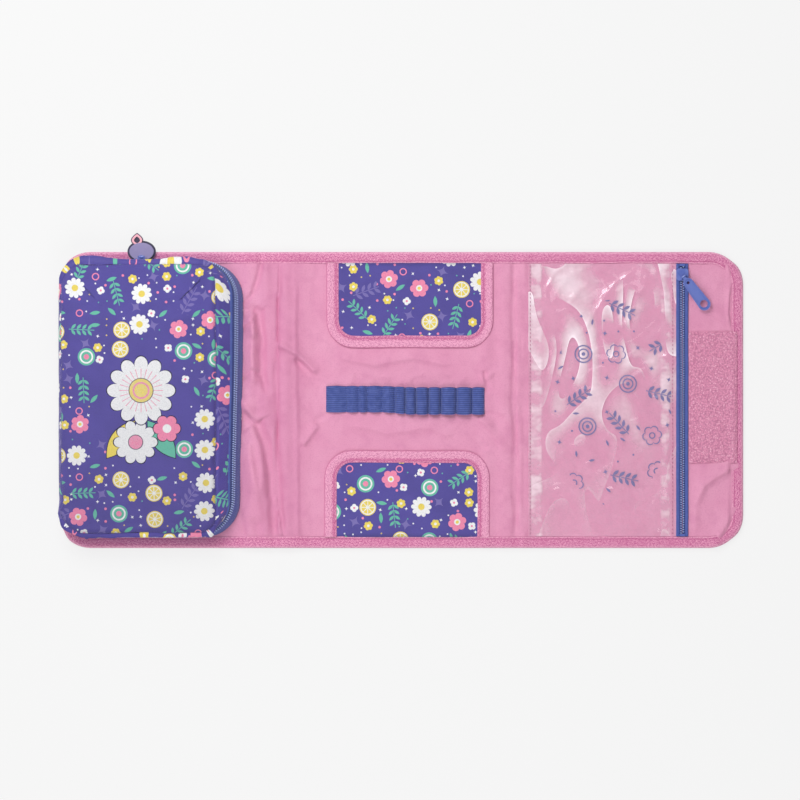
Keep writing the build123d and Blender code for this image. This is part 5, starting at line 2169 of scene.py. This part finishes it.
        def lining(low: float, high: float, rows: int, close: bool) -> Mesh:
            """Make the satin inside of a wall.

            Args:
                low: Its lower border's height.
                high: Its upper border's height.
                rows: Rows of squares between them.
                close: Go on over the whole underside of the cover.

            Returns:
                The mesh.
            """
            inset = self.satin_inset
            steps = [(low + (high - low) * row / rows, inset) for row in range(rows + 1)]
            if close:
                steps += [(high + 0.12 * ring, inset + (self.middle_gap() - inset) * ring / 9) for ring in range(1, 10)]
            walks = [self.walk((self.level(height) if inset < 3 else self.rim).inset(inset)) for height, inset in steps]
            count = len(walks[0]) - 1

            def place(u: float, v: float) -> Point:
                """Place one corner of the satin."""
                row = round(v * (len(steps) - 1))
                spot, edge = walks[row][round(u * count) % count], walks[0][round(u * count) % count]
                if steps[row][1] > 3:
                    return spot.x, spot.y, steps[row][0] - 0.35 * ripple(spot.x, spot.y, 16.0, 85)
                outside = self.wall_offset(replace(spot, run=edge.run), steps[row][0])
                x, y = spot.offset(min(outside, 0.0))
                return x, y, steps[row][0]

            return flip_faces(grid_sheet(count, len(steps) - 1, place, weld=0.08))

        inside = new_piece("pouch_lid_satin", lining(self.belt_height + 0.3, self.rim_height - 2.1, 6, True))
        attach(inside, [satin], "satin_lining", "pouch_cover_lining", body="lid")
        inside = new_piece("pouch_tray_satin", lining(CASE.lining_top + 0.2, self.belt_height - 0.3, 6, False))
        attach(inside, [satin], "satin_lining", body="pouch")

    def build(self, cover: Finish, side: Finish, satin: Finish, tape: Finish, coil: Finish, thread: Finish) -> None:
        """Make the whole pouch.

        Args:
            cover: The cover's finish.
            side: The walls' finish.
            satin: The inside's finish.
            tape: The zip tape's finish.
            coil: The coil's finish.
            thread: The stitches' finish.
        """
        self.build_walls(side, satin)
        self.build_cover(cover, thread)
        for half in ("upper", "lower"):
            self.build_zip(half, tape, coil, thread)


@dataclass
class CarriedParts:
    """The CAD pieces whose own shapes stay: zip stops, sliders, pull tab and charm."""

    def dress(self, finish: Finish, *nodes: str) -> None:
        """Give CAD nodes a finish."""
        for name in nodes:
            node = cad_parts[name]
            node.data.materials.clear()
            node.data.materials.append(finish)
            log.info("%s: dressed with %s", name, finish.name)

    def build(self) -> None:
        """Dress every piece."""
        enamel = Moulded("blue_enamel", (0.078, 0.118, 0.420), (0.16, 0.21, 0.56), 0.30, 0.015, coat=0.35).make()
        self.dress(enamel, "pouch_zip_slider", "flap_zip_slider", "pull_tab", "charm_link")
        stops = Moulded("blue_stops", Tone.BLUE.value, Tone.BLUE_LIGHT.value, 0.4).make()
        self.dress(stops, "pouch_zip_stops", "flap_zip_stops")
        self.dress(Moulded("charm_dark", Tone.NIGHT.value, (0.04, 0.03, 0.09), 0.35, coat=0.3).make(), "charm_backing")
        self.dress(Moulded("charm_lilac", (0.235, 0.195, 0.400), (0.32, 0.28, 0.48), 0.42).make(), "charm_disc")
        self.dress(Moulded("charm_pink", (0.82, 0.33, 0.42), (0.90, 0.50, 0.56), 0.40).make(), "charm_leaf")


def main() -> None:
    """Build the studio and every sub-assembly in turn."""
    logging.basicConfig(level=logging.INFO, format="%(message)s")
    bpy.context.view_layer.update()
    Studio().build()
    satin = Satin().make()
    binding = Grosgrain().make()
    pink_thread = Thread("pink_thread", (0.80, 0.30, 0.48), (0.52, 0.12, 0.28)).make()
    pocket_tape = Grosgrain("pink_pocket_tape", light_bands=((3.9, 2.6),), painted_shade_bands=((0.9, 0.5), (8.4, 0.2))).make()
    blue_thread = Thread("blue_thread", Tone.BLUE_LIGHT.value, Tone.BLUE_SHADE.value).make()
    CaseCloth().build_cores(Board().make(), Board("pale_foam").make())
    CaseCloth().build(satin, PrintedCloth("printed_outer_cloth").make())
    EdgeBinding().build(binding, pink_thread)
    print_upper = PrintedCloth("printed_upper_pocket", shift=(37.0, 18.0), painted_shade_seam_y=102.5).make()
    print_lower = PrintedCloth("printed_lower_pocket", shift=(-61.0, 44.0), painted_shade_seam_y=102.5).make()
    PrintedPocket("upper_pocket", 1.0).build(print_upper, pocket_tape, pink_thread)
    PrintedPocket("lower_pocket", -1.0).build(print_lower, pocket_tape, pink_thread)
    PencilElastic().build(RibbedElastic().make(), blue_thread)
    film_thread = Thread("dark_pink_thread", (0.50, 0.10, 0.26), (0.30, 0.05, 0.15)).make()
    FilmPocket().build(ClearFilm().make(), film_thread)
    zip_tape = ZipTape().make()
    coil = Moulded("blue_coil", (0.300, 0.390, 0.740), (0.50, 0.60, 0.88), 0.32, 0.03).make()
    FlapZip().build(zip_tape, coil)
    hook_pile = HookTape("pink_hook_pile", (0.79, 0.30, 0.475), (0.49, 0.135, 0.265), (0.97, 0.63, 0.77)).make()
    loop_pile = HookTape("pink_loop_pile", (0.68, 0.27, 0.45), (0.48, 0.14, 0.29), (0.85, 0.50, 0.66)).make()
    FasteningPatch("hook_pile", "hook_patch", "flap", "hook_tape").build(hook_pile, pink_thread)
    FasteningPatch("loop_pile", "loop_patch", "pouch", "loop_tape", down=True).build(loop_pile, pink_thread)
    cover = PrintedCloth("printed_cover", emblem=True).make()
    side = PrintedCloth("printed_sides", shift=(31.0, -64.0)).make()
    violet_thread = Thread("violet_thread", (0.16, 0.13, 0.42), (0.05, 0.04, 0.18)).make()
    Pouch().build(cover, side, satin, zip_tape, coil, violet_thread)
    CarriedParts().build()


if __name__ == "__main__":
    main()
